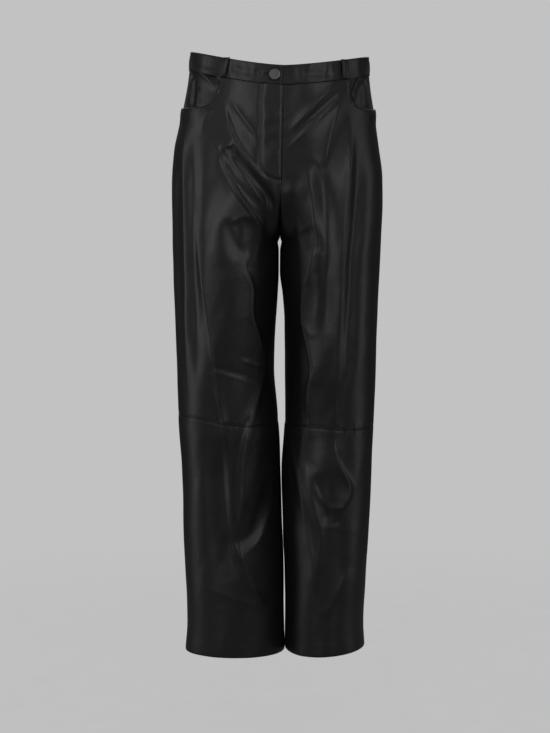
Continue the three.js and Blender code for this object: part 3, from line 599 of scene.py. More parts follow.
frontCreases = [
    ("right hairpin line", 1.5, 3, 2.5, ((-102, -156), (-90, -184), (-71, -221), (-50, -256), (-36, -284))),
    ("right hairpin groove", -0.7, 4, 4, ((-101, -172), (-88, -198), (-72, -232), (-54, -262))),
    ("right lap groove", -1.2, 3.5, 4, ((-88, -76), (-80, -106), (-72, -130), (-50, -164), (-26, -193))),
    ("right soft ridge", 1.6, 6, 5, ((-95, -151), (-70, -183), (-43, -220), (-17, -256))),
    ("right short line", 0.8, 3, 3.5, ((-83, -70), (-51, -114), (-33, -135))),
    ("right mouth tuck", 1.3, 8, 7, ((-112, -86), (-124, -100), (-134, -132))),
    ("right mouth hollow", -2.4, 24, 17, ((-114, -104), (-110, -140), (-103, -176), (-88, -214))),
    ("right thigh brow", 1.6, 6, 6, ((-85, -275), (-58, -263), (-43, -273))),
    ("right knee brow", 1.8, 5, 4, ((-66, -504), (-42, -515), (-27, -513))),
    ("right knee line", 0.7, 5, 5, ((-124, -520), (-102, -526), (-74, -535), (-36, -551), (-14, -560))),
    ("right knee ridge line", 1.4, 6, 5, ((-110, -540), (-101, -580), (-92, -620), (-87, -672))),
    ("right inner knee line", 1.3, 5, 6, ((-36, -552), (-45, -592), (-54, -628), (-62, -690))),
    ("right shin shade", -3, 20, 45, ((-47, -634), (-45, -700), (-41, -766), (-34, -826))),
    ("right inner line", 2, 3.5, 3,
     ((-60, -346), (-52, -366), (-49, -388), (-50, -430), (-40, -466), (-34, -500))),
    ("right shin line", 0.5, 5, 5, ((-94, -622), (-84, -690), (-81, -748), (-77, -814))),
    ("right shin inner line", 0.4, 5, 5, ((-54, -622), (-62, -680), (-64, -748), (-73, -814))),
    ("right fork line", 1.2, 3, 3.5, ((-75, -822), (-62, -856), (-48, -898), (-28, -936))),
    ("right hem crease", 1.1, 16, 16, ((-132, -896), (-96, -912), (-62, -924), (-18, -940))),
    ("right inner shin line", 0.9, 2.5, 2.5, ((-16, -680), (-11, -720), (-12, -764))),
    ("left lap line", 1.9, 4, 6, ((108, -58), (86, -79), (60, -104), (36, -129), (6, -156))),
    ("left arch", 0.8, 9, 9, ((38, -172), (56, -169), (67, -183), (73, -212))),
    ("left oval line", 0.5, 6, 6, ((64, -225), (70, -290), (71, -318), (56, -352), (44, -382))),
    ("left side shade", -2.4, 10, 20, ((134, -112), (133, -230), (124, -340), (118, -460))),
    ("left knee brow", 0.8, 6, 6, ((37, -436), (46, -452), (60, -470))),
    ("left knee line", 1.2, 3, 4, ((59, -518), (50, -559), (51, -606))),
    ("left inner shin line", 2.1, 8, 4,
     ((8, -606), (22, -668), (36, -735), (47, -800), (56, -860), (58, -905))),
    ("left inmost shin line", 1.2, 2.6, 2.6, ((11, -618), (14, -661), (17, -743))),
    ("left shin line", 0.9, 4, 4, ((38, -668), (45, -697), (54, -738), (63, -772), (71, -800))),
    ("left bulge rim", 1.4, 3.4, 2.8, ((88, -636), (100, -683), (116, -719), (113, -745), (92, -780))),
    ("left bulge brow", 1.8, 8, 8, ((50, -697), (66, -736), (86, -758), (111, -752))),
]

backCreases = [
    ("right seat line", 1.2, 3.5, 3, ((-24, -268), (-66, -309), (-112, -322))),
    ("right seat groove", -1.2, 3.5, 3.5, ((-16, -284), (-48, -318), (-92, -340))),
    ("right knee pit line", 1.4, 4, 4, ((-140, -562), (-96, -584), (-50, -572))),
    ("right calf line", 1.1, 3.5, 3, ((-66, -660), (-79, -752), (-74, -846))),
    ("left seat line", 1.2, 3, 3.5, ((22, -260), (60, -303), (110, -314))),
    ("left seat groove", -1.2, 3.5, 3.5, ((14, -276), (50, -312), (96, -330))),
    ("left knee pit line", 1.4, 4, 4, ((44, -580), (90, -600), (130, -578))),
    ("left calf line", 1.1, 3, 3.5, ((88, -670), (80, -764), (86, -862))),
]

foldShape = {
    "ends": 0.3, "steps": 14,  # the share of a fold's line in which it fades in and out
    "crest": 2.2, "flank": 0.72,  # how round a ridge's top is, and how steep its sides are
    "clearOuter": 9, "clearInner": 16,  # folds die out this close to a side seam or an inner seam
    "creaseClear": 5,
    "insideFly": 14, "belowFly": 14, "aboveFly": 6,  # and this far inside the J and round its bottom
}


def foldLine(points):
    # Straight steps along a smooth curve through the points
    points = np.array(points, float)
    last = len(points) - 1
    line = []
    for k in range(foldShape["steps"] + 1):
        p = last * k / foldShape["steps"]
        i = min(int(p), last - 1)
        t = p - i
        before, a = points[max(i - 1, 0)], points[i]
        b, after = points[i + 1], points[min(i + 2, last)]
        v0, v1 = (b - before) / 2, (after - a) / 2
        bend = (2 * a - 2 * b + v0 + v1) * t ** 3 + (-3 * a + 3 * b - 2 * v0 - v1) * t ** 2
        line.append(bend + v0 * t + a)
    return np.array(line)


def foldRise(fold, x, z):
    rise, west, east, points = fold[1:]
    line = foldLine(points)
    reach = 3 * max(west, east)
    low, high = line.min(axis=0) - reach, line.max(axis=0) + reach
    near = (x > low[0]) & (x < high[0]) & (z > low[1]) & (z < high[1])
    lift = np.zeros_like(x)
    if not near.any():
        return lift
    px, pz = x[near], z[near]
    nearest = np.full(px.shape, 1e9)
    along = np.zeros(px.shape)
    beside = np.zeros(px.shape)
    steps = foldShape["steps"]
    for i in range(steps):
        a, d = line[i], line[i + 1] - line[i]
        t = np.clip(((px - a[0]) * d[0] + (pz - a[1]) * d[1]) / (d @ d), 0, 1)
        offX = px - a[0] - t * d[0]
        away = np.hypot(offX, pz - a[1] - t * d[1])
        closer = away < nearest
        nearest = np.where(closer, away, nearest)
        along = np.where(closer, (i + t) / steps, along)
        beside = np.where(closer, offX, beside)
    width = np.where(beside < 0, west, east)
    fade = smoothstep(along, 0, foldShape["ends"]) * smoothstep(1 - along, 0, foldShape["ends"])
    lift[near] = rise * fade * (crest(nearest, width) if rise > 0 else hump(nearest, width))
    return lift


def foldHeight(side, half, x, z):
    leg = legs[side]
    toSide = np.abs(leg["sign"] * leg["out"](z) - x)
    toMiddle = np.abs(x - middle(side, half, z))
    start = 0
    if half == "front" and side == "right":
        atFly = smoothstep(z, fly["bottom"] - foldShape["belowFly"], fly["bottom"] + foldShape["aboveFly"])
        start = atFly * (fly["width"] - foldShape["insideFly"])
    folds, creases = (frontFolds, frontCreases) if half == "front" else (backFolds, backCreases)
    clear = smoothstep(toSide, 0, foldShape["clearOuter"])
    clear = clear * smoothstep(toMiddle, start, start + foldShape["clearInner"])
    fine = smoothstep(toSide, 0, foldShape["creaseClear"])
    fine = fine * smoothstep(toMiddle, start, start + foldShape["creaseClear"])
    broad = sum(foldRise(fold, x, z) for fold in folds)
    narrow = sum(foldRise(crease, x, z) for crease in creases)
    return clear * broad + fine * narrow


pocket = {
    "start": {"right": 100, "left": 110.5}, "sideEnd": {"right": -84, "left": -86}, "corner": 3,
    "lift": 3, "liftHeight": 30, "liftFrom": 18, "liftTo": 50, "liftEnd": 4,
    "facingDrop": 14, "facingBehind": 14, "facingWall": 1.6,
}


def mouthLift(side, x, z):
    # The front stands off the hip at the outer end of its pocket mouth
    start, end = pocket["start"][side], pocket["sideEnd"][side]
    across = smoothstep(np.abs(x), start + pocket["liftFrom"], start + pocket["liftTo"])
    return pocket["lift"] * across * smoothstep(z, end - pocket["liftHeight"], end - pocket["liftEnd"])


def underlapStep(x, z):
    # The left front steps inwards where it runs under the fly
    start = flyEdge(z) + fly["stepStart"]
    across = 1 - smoothstep(x, start, start + fly["stepRamp"])
    return fly["step"] * across * smoothstep(z, split["frontRise"] - fly["stepFade"], split["frontRise"])


def panelLift(side, half, x, z):
    lift = foldHeight(side, half, x, z)
    if half == "front":
        lift = lift + mouthLift(side, x, z)
    if half == "front" and side == "left":
        lift = lift - underlapStep(x, z)
    return lift


band = {
    "height": 32, "wall": 3, "proud": 1, "sideLevel": 7,
    "frontDip": 20.5, "backDip": 14, "dipPower": 1.5, "tilt": -4.2,
    "lapEnd": 3.5, "underlapEnd": -26, "stepStart": 4,
}


def bandTop(side, half, u):
    # The level of the band's top edge, u from the centre (0) to the side (1)
    across = np.sin(u * math.pi / 2)
    dip = band[half + "Dip"] * (1 - np.abs(across) ** band["dipPower"])
    return band["sideLevel"] + band["tilt"] * legs[side]["sign"] * across - dip


def waistSeam(side, half, u):
    return bandTop(side, half, u) - band["height"]


def shareOf(across):
    # The u at which the hip reaches a share of its width
    return 2 / math.pi * np.arcsin(np.clip(across, -1, 1))


def kneeLevel(side, u):
    return lerp(ends[side]["kneeInner"], ends[side]["kneeOuter"], smoothstep(u, *ends["kneeTurn"]))


def hemLevel(side, u):
    return lerp(ends[side]["hemInner"], ends[side]["hemOuter"], smoothstep(u, *ends["hemTurn"]))


# Fine relief of the leather, too small for the plain form

relief = {
    "waves": [
        # height, length along X, length along Z, start: slow unevenness of a soft skin
        (0.30, 97, 210, 0.4), (0.22, -61, 173, 2.1), (0.10, 37, -88, 4.4), (0.05, -29, 61, 1.3),
    ],
    "pucker": 0.34, "puckerReach": 5,  # beside sewn seams
    "kneeStitch": 2.4, "flyStitch": 2.4, "stitchSink": 0.35, "stitchWidth": 1.1,
    "hemTurn": 24, "hemStep": 0.1, "hemGroove": 0.04, "hemSoft": 2,  # the turned-up hem and its line
}


def softWaves(x, z):
    return sum(h * np.sin(2 * math.pi * (x / lx + z / lz) + start) for h, lx, lz, start in relief["waves"])


def jLineDistance(x, z):
    # Millimetres outside (+) or inside (-) the J-shaped line sewn beside the fly
    below = np.maximum(fly["curveStart"] - z, 0) / (fly["curveStart"] - fly["bottom"])
    beside = (flyEdge(z) - x) / fly["width"]
    return (np.hypot(beside, below) - 1) * fly["width"] - fly["sway"] * np.sin(z / fly["swayLength"])


def flyRelief(x, z):
    distance = jLineDistance(x, z)
    inside = smoothstep(-distance, 0, fly["padEdge"]) * smoothstep(flyEdge(z) - x, 0, 3)
    dimples = fly["dimples"] * np.sin(z / 6.3 + 1.4 * np.sin(z / 19)) * np.sin(x / 9)
    return inside * (fly["pad"] + dimples) - fly["groove"] * hump(distance, fly["grooveWidth"])


def puckerWave(run):
    # An uneven wave about 18 mm long that swells and dies down
    return np.sin(run / 2.9 + 1.9 * np.sin(run / 13)) * (0.55 + 0.45 * np.sin(run / 21 + 0.8))


def seamRelief(distance, run):
    # A sewn line: the thread sinks in and the leather puckers unevenly beside it
    sunk = relief["stitchSink"] * hump(distance, relief["stitchWidth"])
    return relief["pucker"] * puckerWave(run) * hump(distance, relief["puckerReach"]) - sunk


def panelRelief(side, half, u, x, z):
    total = softWaves(x, z)
    fromBottom = z - fly["bottom"]
    if half == "front" and side == "right":
        total = total + flyRelief(x, z) * smoothstep(fromBottom, *fly["padFade"])
    if half == "front":
        fromStitch = np.abs(x - flyEdge(z)) - relief["flyStitch"]
        total = total + smoothstep(fromBottom, *fly["edgeFade"]) * seamRelief(fromStitch, z)
    knee = kneeLevel(side, u)
    run = x * (1.3 if half == "front" else 1.1)  # so that front and back don't pucker alike
    total = total + seamRelief(np.abs(z - knee) - relief["kneeStitch"], run)
    fromTurn = z - hemLevel(side, u) - relief["hemTurn"]
    soft = relief["hemSoft"]
    turned = relief["hemStep"] * smoothstep(-fromTurn, -soft, soft)
    return total + turned - relief["hemGroove"] * hump(fromTurn, soft)


# Meshes

edgeSteps = (0, 0.35, 0.8, 1.4, 2.4)  # distances of the first columns from an edge, to round it
sharpAngle = 50  # edges that turn by more are drawn sharp


def shares(count, span):
    # Values from 0 to 1 along a span in millimetres, close together at both ends
    near = np.array(edgeSteps) / span
    between = np.linspace(near[-1], 1 - near[-1], count - 2 * (len(near) - 1) + 1)
    return np.concatenate([near[:-1], between, 1 - near[:-1][::-1]])


def runLengths(points, axis):
    steps = np.linalg.norm(np.diff(points, axis=axis), axis=-1)
    pad = [(0, 0), (0, 0)]
    pad[axis] = (1, 0)
    return np.pad(np.cumsum(steps, axis=axis), pad)


def edgeDrop(points, radius, groove):
    # How far the face drops near the four edges of a piece, where the leather turns in at its seams, and
    # the soft dip beside them
    across = runLengths(points, 1)
    down = runLengths(points, 0)
    nearest = np.minimum(np.minimum(across, across[:, -1:] - across), np.minimum(down, down[-1:, :] - down))
    turned = np.clip(1 - nearest / radius, 0, 1)
    return radius * 0.8 * (1 - np.sqrt(1 - turned ** 2)) + groove * hump(nearest, 2.4 * radius)


def closedSheet(name, outer, inner, shift, insideFinish="suede", outsideFinish="nappa"):
    # A closed shell from two grids of points: the outer face, the inner face and the rims between them
    count = outer.shape[0] * outer.shape[1]
    points = np.concatenate([outer.reshape(-1, 3), inner.reshape(-1, 3)]) + np.array(shift, float)
    grid = np.arange(count).reshape(outer.shape[:2])
    face = np.stack([grid[:-1, :-1], grid[:-1, 1:], grid[1:, 1:], grid[1:, :-1]], axis=-1).reshape(-1, 4)
    rims = []
    for line in (grid[0, ::-1], grid[:, 0], grid[-1, :], grid[::-1, -1]):
        rims.append(np.stack([line[:-1], line[1:], line[1:] + count, line[:-1] + count], axis=-1))
    quads = np.concatenate([face, face[:, ::-1] + count] + rims)
    corners = points[quads] - points.mean(axis=0)
    volume = 0
    for i in (1, 2):
        volume += np.einsum("ij,ij->", corners[:, 0], np.cross(corners[:, i], corners[:, i + 1]))
    if volume < 0:  # the faces point inwards, so they are turned round
        quads = quads[:, ::-1]
    mesh = bpy.data.meshes.new(name)
    mesh.vertices.add(len(points))
    mesh.vertices.foreach_set("co", (points * mm).astype(np.float32).ravel())
    mesh.loops.add(quads.size)
    mesh.loops.foreach_set("vertex_index", quads.ravel().astype(np.int32))
    mesh.polygons.add(len(quads))
    mesh.polygons.foreach_set("loop_start", np.arange(0, quads.size, 4, dtype=np.int32))
    mesh.polygons.foreach_set("loop_total", np.full(len(quads), 4, dtype=np.int32))
    kinds = np.zeros(len(quads), dtype=np.int32)
    kinds[len(face):len(face) * 2] = 1
    mesh.materials.append(finishes[outsideFinish])
    mesh.materials.append(finishes[insideFinish])
    mesh.polygons.foreach_set("material_index", kinds)
    mesh.polygons.foreach_set("use_smooth", np.ones(len(quads), dtype=bool))
    mesh.update(calc_edges=True)
    mesh.validate()
    mesh.set_sharp_from_angle(angle=math.radians(sharpAngle))
    return putInScene(name, mesh)


def dress(piece, node):
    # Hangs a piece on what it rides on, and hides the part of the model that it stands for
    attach(piece, "root")
    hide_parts(node)


# Panels

panels = {
    # columns and rows of the mesh, their span, and the flat cut: width and length, and area, in metres
    "front": {"columns": 160, "rows": 300, "across": 190, "down": 575,
              "flat": (0.29, 0.6), "area": 0.135},
    "back": {"columns": 90, "rows": 180, "across": 230, "down": 590,
             "flat": (0.3, 0.63), "area": 0.142},
    "shin": {"columns": 112, "rows": 200, "across": 230, "down": 400,
             "flat": (0.265, 0.405), "area": 0.104},
    "calf": {"columns": 76, "rows": 120, "across": 225, "down": 400,
             "flat": (0.265, 0.405), "area": 0.1},
    "edge": 0.8, "groove": 0.3,  # radius of the turned edges, and the dip beside a seam
    "apart": 0.05, "closed": 3,  # from the centre to each half, and the strip beside it that is held to it
}


def frontTopPath(side, count):
    # Along the waist seam, then round the pocket mouth to the side seam
    leg = legs[side]
    start = pocket["start"][side]
    u1 = np.linspace(0, float(shareOf(start / leg["out"](-band["height"]))), count)
    level = waistSeam(side, "front", u1)
    x = place(side, "front", u1, level)[:, 0]
    z1 = waistSeam(side, "front", shareOf(leg["sign"] * x / leg["out"](level))) - seamGap
    top, end = z1[-1], pocket["sideEnd"][side]
    angle = np.linspace(0, math.pi / 2, count)[1:]
    z2 = top + (end - top) * np.sin(angle) ** (2 / pocket["corner"])
    out = leg["out"](z2)
    x2 = out - (out - start) * np.maximum(np.cos(angle), 0) ** (2 / pocket["corner"])
    return np.concatenate([u1, shareOf(x2 / out)]), np.concatenate([z1, z2])


def backTopPath(side, count):
    u = np.linspace(0, 1, count)
    return u, waistSeam(side, "back", u) - seamGap


def spaced(side, half, path, at):
    points = place(side, half, *path)
    run = np.concatenate([[0], np.cumsum(np.linalg.norm(np.diff(points, axis=0), axis=1))])
    return np.interp(at * run[-1], run, path[0]), np.interp(at * run[-1], run, path[1])


def panelShift(side, half):
    return (legs[side]["sign"] * panels["apart"], (-1 if half == "front" else 1) * seamGap / 2, 0)


def closeCentre(plain, normal):
    # Above the crotch the halves meet at the centre, so nothing beside that seam moves them apart
    beside = 1 - smoothstep(runLengths(plain, 1), 0, panels["closed"])
    normal[..., 0] *= 1 - beside * smoothstep(plain[..., 2], crotchLevel, crotchLevel + panels["closed"])


def makePanel(name, side, half, u, z, node):
    plain = place(side, half, u, z)
    normal = panelNormal(side, half, u, z)
    closeCentre(plain, normal)
    x = plain[..., 0]
    lift = panelLift(side, half, x, z)
    face = lift + panelRelief(side, half, u, x, z) - edgeDrop(plain, panels["edge"], panels["groove"])
    outer = plain + normal * face[..., None]
    inner = plain + normal * (lift - wall)[..., None]
    dress(closedSheet(name, outer, inner, panelShift(side, half)), node)


def makeUpper(side, half):
    cut = panels[half]
    at = shares(cut["columns"], cut["across"])
    path = frontTopPath(side, 400) if half == "front" else backTopPath(side, 400)
    topU, topZ = spaced(side, half, path, at)
    t = shares(cut["rows"], cut["down"])[:, None]
    u = lerp(topU[None, :], at[None, :], 1 - (1 - t) ** 2)
    z = lerp(topZ[None, :], kneeLevel(side, at)[None, :] + seamGap / 2, t)
    makePanel(f"{half}Panel_{side}", side, half, u, z, f"{half}_{side}")


def makeLower(side, half):
    word = "shin" if half == "front" else "calf"
    cut = panels[word]
    at = shares(cut["columns"], cut["across"])
    t = shares(cut["rows"], cut["down"])[:, None]
    u = at[None, :] + 0 * t
    z = lerp(kneeLevel(side, at)[None, :] - seamGap / 2, hemLevel(side, at)[None, :], t)
    makePanel(f"{word}Panel_{side}", side, half, u, z, f"{word}_{side}")


for side in ("right", "left"):
    for half in ("front", "back"):
        makeUpper(side, half)
        makeLower(side, half)
print("panels made")


# Pocket facings

facings = {
    "columns": 70, "rows": 56, "across": 95, "down": 66, "edge": 0.8, "groove": 0.2,
    "tuckedUp": 1,  # how far they reach up behind the band
    "mouthFade": 0.16, "sideFade": 6,  # the puckers die out towards the mouth's edge and the side seam
    "right": {"flat": (0.135, 0.075), "area": 0.0075},
    "left": {"flat": (0.115, 0.07), "area": 0.0062},
    "puckers": [
        # as the folds, in the leather that shows inside the mouths
        ("right pleat", 3.6, 6, 5, ((-142, -18), (-121, -35), (-96, -62))),
        ("right pleat valley", -3.2, 5, 5, ((-134, -12), (-112, -29), (-92, -50))),
        ("right outer pucker", 2.3, 4, 3, ((-151, -28), (-153, -55), (-155, -84))),
        ("right outer valley", -1.7, 3, 3.4, ((-144, -28), (-146, -58), (-148, -84))),
        ("right inner pucker", 2.0, 3, 4, ((-136, -48), (-138, -66), (-140, -86))),
        ("left pucker", 3.2, 4, 5, ((126, -24), (113, -46), (117, -66), (128, -84))),
        ("left diagonal valley", -3.4, 4, 5, ((142, -20), (128, -50), (116, -80))),
        ("left outer pucker", 2.3, 4, 4, ((142, -36), (144, -60), (146, -88))),
        ("left low valley", -1.6, 4, 4, ((126, -58), (128, -74), (128, -90))),
    ],
}


def insideMouth(side, x, z):
    # 0 at the edge of the pocket mouth and under the front, rising to 1 inside the mouth
    leg = legs[side]
    start, end = pocket["start"][side], pocket["sideEnd"][side]
    top = waistSeam(side, "front", shareOf(start / leg["out"](-band["height"])))
    out = leg["out"](z)
    fromSide = np.maximum(out - np.abs(x), 0) / (out - start)
    fromTop = np.maximum(top - z, 0) / (top - end)
    reach = fromSide ** pocket["corner"] + fromTop ** pocket["corner"]
    return smoothstep(1 - reach, 0, facings["mouthFade"])


def makeFacing(side):
    leg = legs[side]
    innerU = float(shareOf((pocket["start"][side] - pocket["facingBehind"]) / leg["out"](-band["height"])))
    t = shares(facings["rows"], facings["down"])[:, None]
    u = lerp(innerU, 1, shares(facings["columns"], facings["across"]))[None, :] + 0 * t
    top = waistSeam(side, "front", u) - seamGap + facings["tuckedUp"]
    z = lerp(top, pocket["sideEnd"][side] - pocket["facingDrop"], t)
    plain = place(side, "front", u, z)
    normal = panelNormal(side, "front", u, z)
    x = plain[..., 0]
    puckers = sum(foldRise(fold, x, z) for fold in facings["puckers"]) * insideMouth(side, x, z)
    puckers = puckers * smoothstep(np.abs(leg["sign"] * leg["out"](z) - x), 0, facings["sideFade"])
    lift = puckers - wall - seamGap
    outer = plain + normal * (lift - edgeDrop(plain, facings["edge"], facings["groove"]))[..., None]
    inner = plain + normal * (np.minimum(lift, -wall - seamGap) - pocket["facingWall"])[..., None]
    piece = closedSheet(f"pocketFacing_{side}", outer, inner, panelShift(side, "front"))
    dress(piece, f"pocket_facing_{side}")


makeFacing("right")
makeFacing("left")
print("pocket facings made")


# Waistband

bandCut = {
    "columns": 330, "rows": 24, "across": 480, "down": 32, "edge": 1.2, "groove": 0.35,
    "right": {"flat": (0.415, 0.036), "area": 0.0147},
    "left": {"flat": (0.435, 0.036), "area": 0.0154},
    "tuck": 0.25,  # the band comes this much closer to the panels than its solid does
    "bow": 1.3,  # the band leans in at its middle and flares over the hip
    "creaseFade": 14,
    "creases": [
        # height, place down the band, width, from and to along X: creases that run along the band
        (-0.9, 0.5, 0.16, -88, -24), (0.5, 0.3, 0.1, 22, 62), (-0.8, 0.6, 0.14, 36, 94),
        (0.5, 0.72, 0.1, -150, -104),
    ],
    "wrinkles": [
        # height, place along X, width, lean along X from top to bottom, half
        (0.59, -84, 4, 5, "front"), (-0.52, -72, 5, -4, "front"), (0.45, -57, 6, 6, "front"),
        (0.52, -44, 4, -5, "front"), (-0.39, 22, 6, 3, "front"), (0.59, 34, 5, 6, "front"),
        (0.45, 47, 4, -4, "front"), (-0.52, 61, 6, 5, "front"), (0.65, 74, 4, -6, "front"),
        (0.52, 86, 4, 3, "front"), (0.52, 128, 5, 5, "front"), (-0.45, 137, 4, 0, "front"),
        (0.52, -128, 5, -4, "front"), (-0.39, -140, 4, 2, "front"),
        (0.45, -110, 6, 5, "back"), (-0.39, -64, 7, -4, "back"), (0.45, -30, 6, 4, "back"),
        (0.45, 36, 6, -5, "back"), (-0.45, 72, 7, 4, "back"), (0.52, 116, 5, 5, "back"),
    ],
}


def bandSurface(side):
    leg = legs[side]

    def at(a, z):
        x = leg["sign"] * leg["out"](z) * np.sin(a * math.pi / 2)
        y = np.where(a > 1, depthAt(side, "back", x, z), depthAt(side, "front", x, z))
        return np.stack([x, y, z], axis=-1)

    return at


def bandLevel(side, a):
    return np.where(a > 1, bandTop(side, "back", 2 - a), bandTop(side, "front", a))


def bandLift(side, a):
    if side == "right":
        return band["proud"] + 0 * a
    x = legs[side]["out"](0) * np.sin(a * math.pi / 2)
    start = band["lapEnd"] + band["stepStart"]
    ramp = 1 - smoothstep(x, start, start + fly["stepRamp"])
    return band["proud"] - np.where(a < 1, (band["wall"] + seamGap) * ramp, 0)


def bandRelief(x, a, t):
    total = -bandCut["bow"] * np.sin(math.pi * t)
    for height, at, width, lean, half in bandCut["wrinkles"]:
        here = (a > 1) if half == "back" else (a <= 1)
        total = total + here * height * hump(x - at - lean * (t - 0.5), width) * np.sin(math.pi * t) ** 0.6
    for height, at, width, start, end in bandCut["creases"]:
        fade = bandCut["creaseFade"]
        along = smoothstep(x, start, start + fade) * smoothstep(-x, -end, fade - end)
        total = total + (a <= 1) * along * height * hump(t - at - 0.06 * np.sin(x / 11), width)
    return total


def bandFace(side, a, t):
    # A point on the band's outer face, its normal and its height over the plain form
    surface = bandSurface(side)
    z = bandLevel(side, a) - (band["height"] + bandCut["tuck"]) * t
    plain = surface(a, z)
    normal = normalOf(surface, a, z, 1e-3, legs[side]["sign"])
    return plain, normal, bandLift(side, a) + bandRelief(plain[..., 0], a, t)


def makeBand(side):
    leg = legs[side]
    endX = band["lapEnd"] if side == "right" else band["underlapEnd"]
    endA = float(shareOf(leg["sign"] * endX / leg["out"](0)))
    t = shares(bandCut["rows"], bandCut["down"])[:, None]
    a = lerp(endA, 2, shares(bandCut["columns"], bandCut["across"]))[None, :] + 0 * t
    plain, normal, face = bandFace(side, a, t)
    outer = plain + normal * (face - edgeDrop(plain, bandCut["edge"], bandCut["groove"]))[..., None]
    inner = plain + normal * (bandLift(side, a) - band["wall"])[..., None]
    piece = closedSheet(f"waistbandHalf_{side}", outer, inner, (leg["sign"] * seamGap / 2, 0, 0), "nappa")
    dress(piece, f"waistband_{side}")


makeBand("right")
makeBand("left")
print("waistband made")


# Belt loops

loops = {
    "columns": 20, "rows": 44,
    "width": 12, "wall": 1.6, "arch": 2.8, "over": 0.2, "edge": 0.8, "pillow": 0.5,
    "cut": {"flat": (0.012, 0.036), "area": 0.00043},
    "spots": [
        # name, node, side, half, u, slant
        ("frontRight", "belt_loop_front_right", "right", "front", 0.41, 6),
        ("frontLeft", "belt_loop_front_left", "left", "front", 0.5, 1),
        ("sideRight", "belt_loop_side_right", "right", "back", 0.85, 0),
        ("sideLeft", "belt_loop_side_left", "left", "back", 0.85, 0),
        ("centreBack", "belt_loop_back", "left", "back", 0, 0),
    ],
}


def loopFace(spot, s, t):
    # Points across (s) and down (t) a loop, with their normals and heights
    side, half, u, slant = spot[2:]
    top = bandTop(side, half, u) + loops["over"]
    bottom = waistSeam(side, half, u) - loops["over"]
    near = 0.01
    reach = place(side, half, np.array([u - near, u + near]), np.array([top, top]))
    perU = np.linalg.norm(reach[1] - reach[0]) / (2 * near)
    z = lerp(top, bottom, t) + 0 * s
    at = u + ((s - 0.5) * loops["width"] + slant * (t - 0.5)) / perU
    arch = loops["arch"] * np.sqrt(np.sin(math.pi * np.clip(t, 0.001, 0.999)))
    lift = band["proud"] + seamGap + loops["wall"] + arch
    return place(side, half, at, z), panelNormal(side, half, at, z), lift + 0 * at


def loopShift(spot):
    return (0 if spot[4] == 0 else legs[spot[2]]["sign"] * seamGap / 2, 0, 0)


def makeLoop(spot):
    s = shares(loops["columns"], loops["width"])[None, :]
    t = shares(loops["rows"], band["height"])[:, None]
    plain, normal, lift = loopFace(spot, s, t)
    pillow = loops["pillow"] * (np.sin(math.pi * s) - 0.9 * hump(np.abs(s - 0.5) - 0.33, 0.07))
    outer = plain + normal * (lift + pillow - edgeDrop(plain, loops["edge"], 0))[..., None]
    inner = plain + normal * (lift - loops["wall"])[..., None]
    piece = closedSheet("beltLoop_" + spot[0], outer, inner, loopShift(spot), "nappa")
    dress(piece, spot[1])


for spot in loops["spots"]:
    makeLoop(spot)
print("belt loops made")


# Fly facing and zip, seen only from inside

flyCut = {
    "facing": {"columns": 16, "rows": 60, "flat": (0.037, 0.16), "area": 0.0055},
    "zip": {"columns": 12, "rows": 60, "flat": (0.026, 0.142), "area": 0.0036},
}


def lapSurface(x, z):
    return np.stack([x, depthAt("right", "front", x, z), z], axis=-1)


def flySheet(name, x, z, lift, thick, apart, finish):
    plain = lapSurface(x, z)
    normal = normalOf(lapSurface, x, z, 0.5, 1)
    outer = plain + normal * lift
    inner = plain + normal * (lift - thick)
    return closedSheet(name, outer, inner, (apart * seamGap / 2, -seamGap / 2, 0), finish, finish)


def evenly(cut):
    # Even steps down (t) and across (s) a piece
    return np.linspace(0, 1, cut["rows"])[:, None], np.linspace(0, 1, cut["columns"])[None, :]


def makeFlyFacing():
    t, s = evenly(flyCut["facing"])
    inset = fly["facingInset"]
    z = lerp(waistSeam("right", "front", 0) - inset, fly["bottom"] + inset, t) + 0 * s
    curve = np.clip((fly["curveStart"] - z) / (fly["curveStart"] - fly["bottom"]), 0, 1)
    right = flyEdge(z) - fly["facingFromEdge"]
    x = lerp(right - fly["width"] * np.sqrt(1 - curve * curve), right, s)
    piece = flySheet("flyFacing", x, z, -wall - fly["facingGap"], fly["facingWall"], -1, "suede")
    dress(piece, "fly_facing")


def makeZip():
    t, s = evenly(flyCut["zip"])
    z = lerp(fly["zipTop"], fly["zipBottom"], t) + 0 * s
    x = lerp(fly["zipLeft"], fly["zipRight"], s) + 0 * z
    piece = flySheet("zipTape", x, z, -fly["step"] - wall - seamGap, fly["zipWall"], 1, "tape")
    dress(piece, "fly_zip")


makeFlyFacing()
makeZip()
print("fly made")


# Button

button = {
    "x": -9, "z": -29, "sides": 64, "seat": band["proud"] + seamGap - bandCut["bow"],
    "profile": [
        # radius and height in millimetres, from the shank's foot over the rim to the middle of the face
        (4.5, 0), (4.5, 2.5), (8.2, 2.5), (9.3, 2.7), (9.8, 3.1), (10, 3.6), (9.9, 4.2), (9.5, 4.6),
        (9.1, 4.7), (8.8, 4.6), (8.6, 4.25), (8.45, 4.15), (7.4, 4.22), (5, 4.3), (2.5, 4.34), (0.6, 4.35),
    ],
    "darkRings": 8,  # the rim, up to this ring of the profile, is darker than the face
}


def frameAt(x, z, lift):
    # A place on the band's front with the directions right, up and out of it
    x, z = np.array(float(x)), np.array(float(z))
    normal = normalOf(lapSurface, x, z, 0.5, 1)
    right = np.cross(np.array([0, 0, -1.0]), normal)
    right /= -np.linalg.norm(right)
    return lapSurface(x, z) + normal * lift, right, np.cross(normal, right), normal


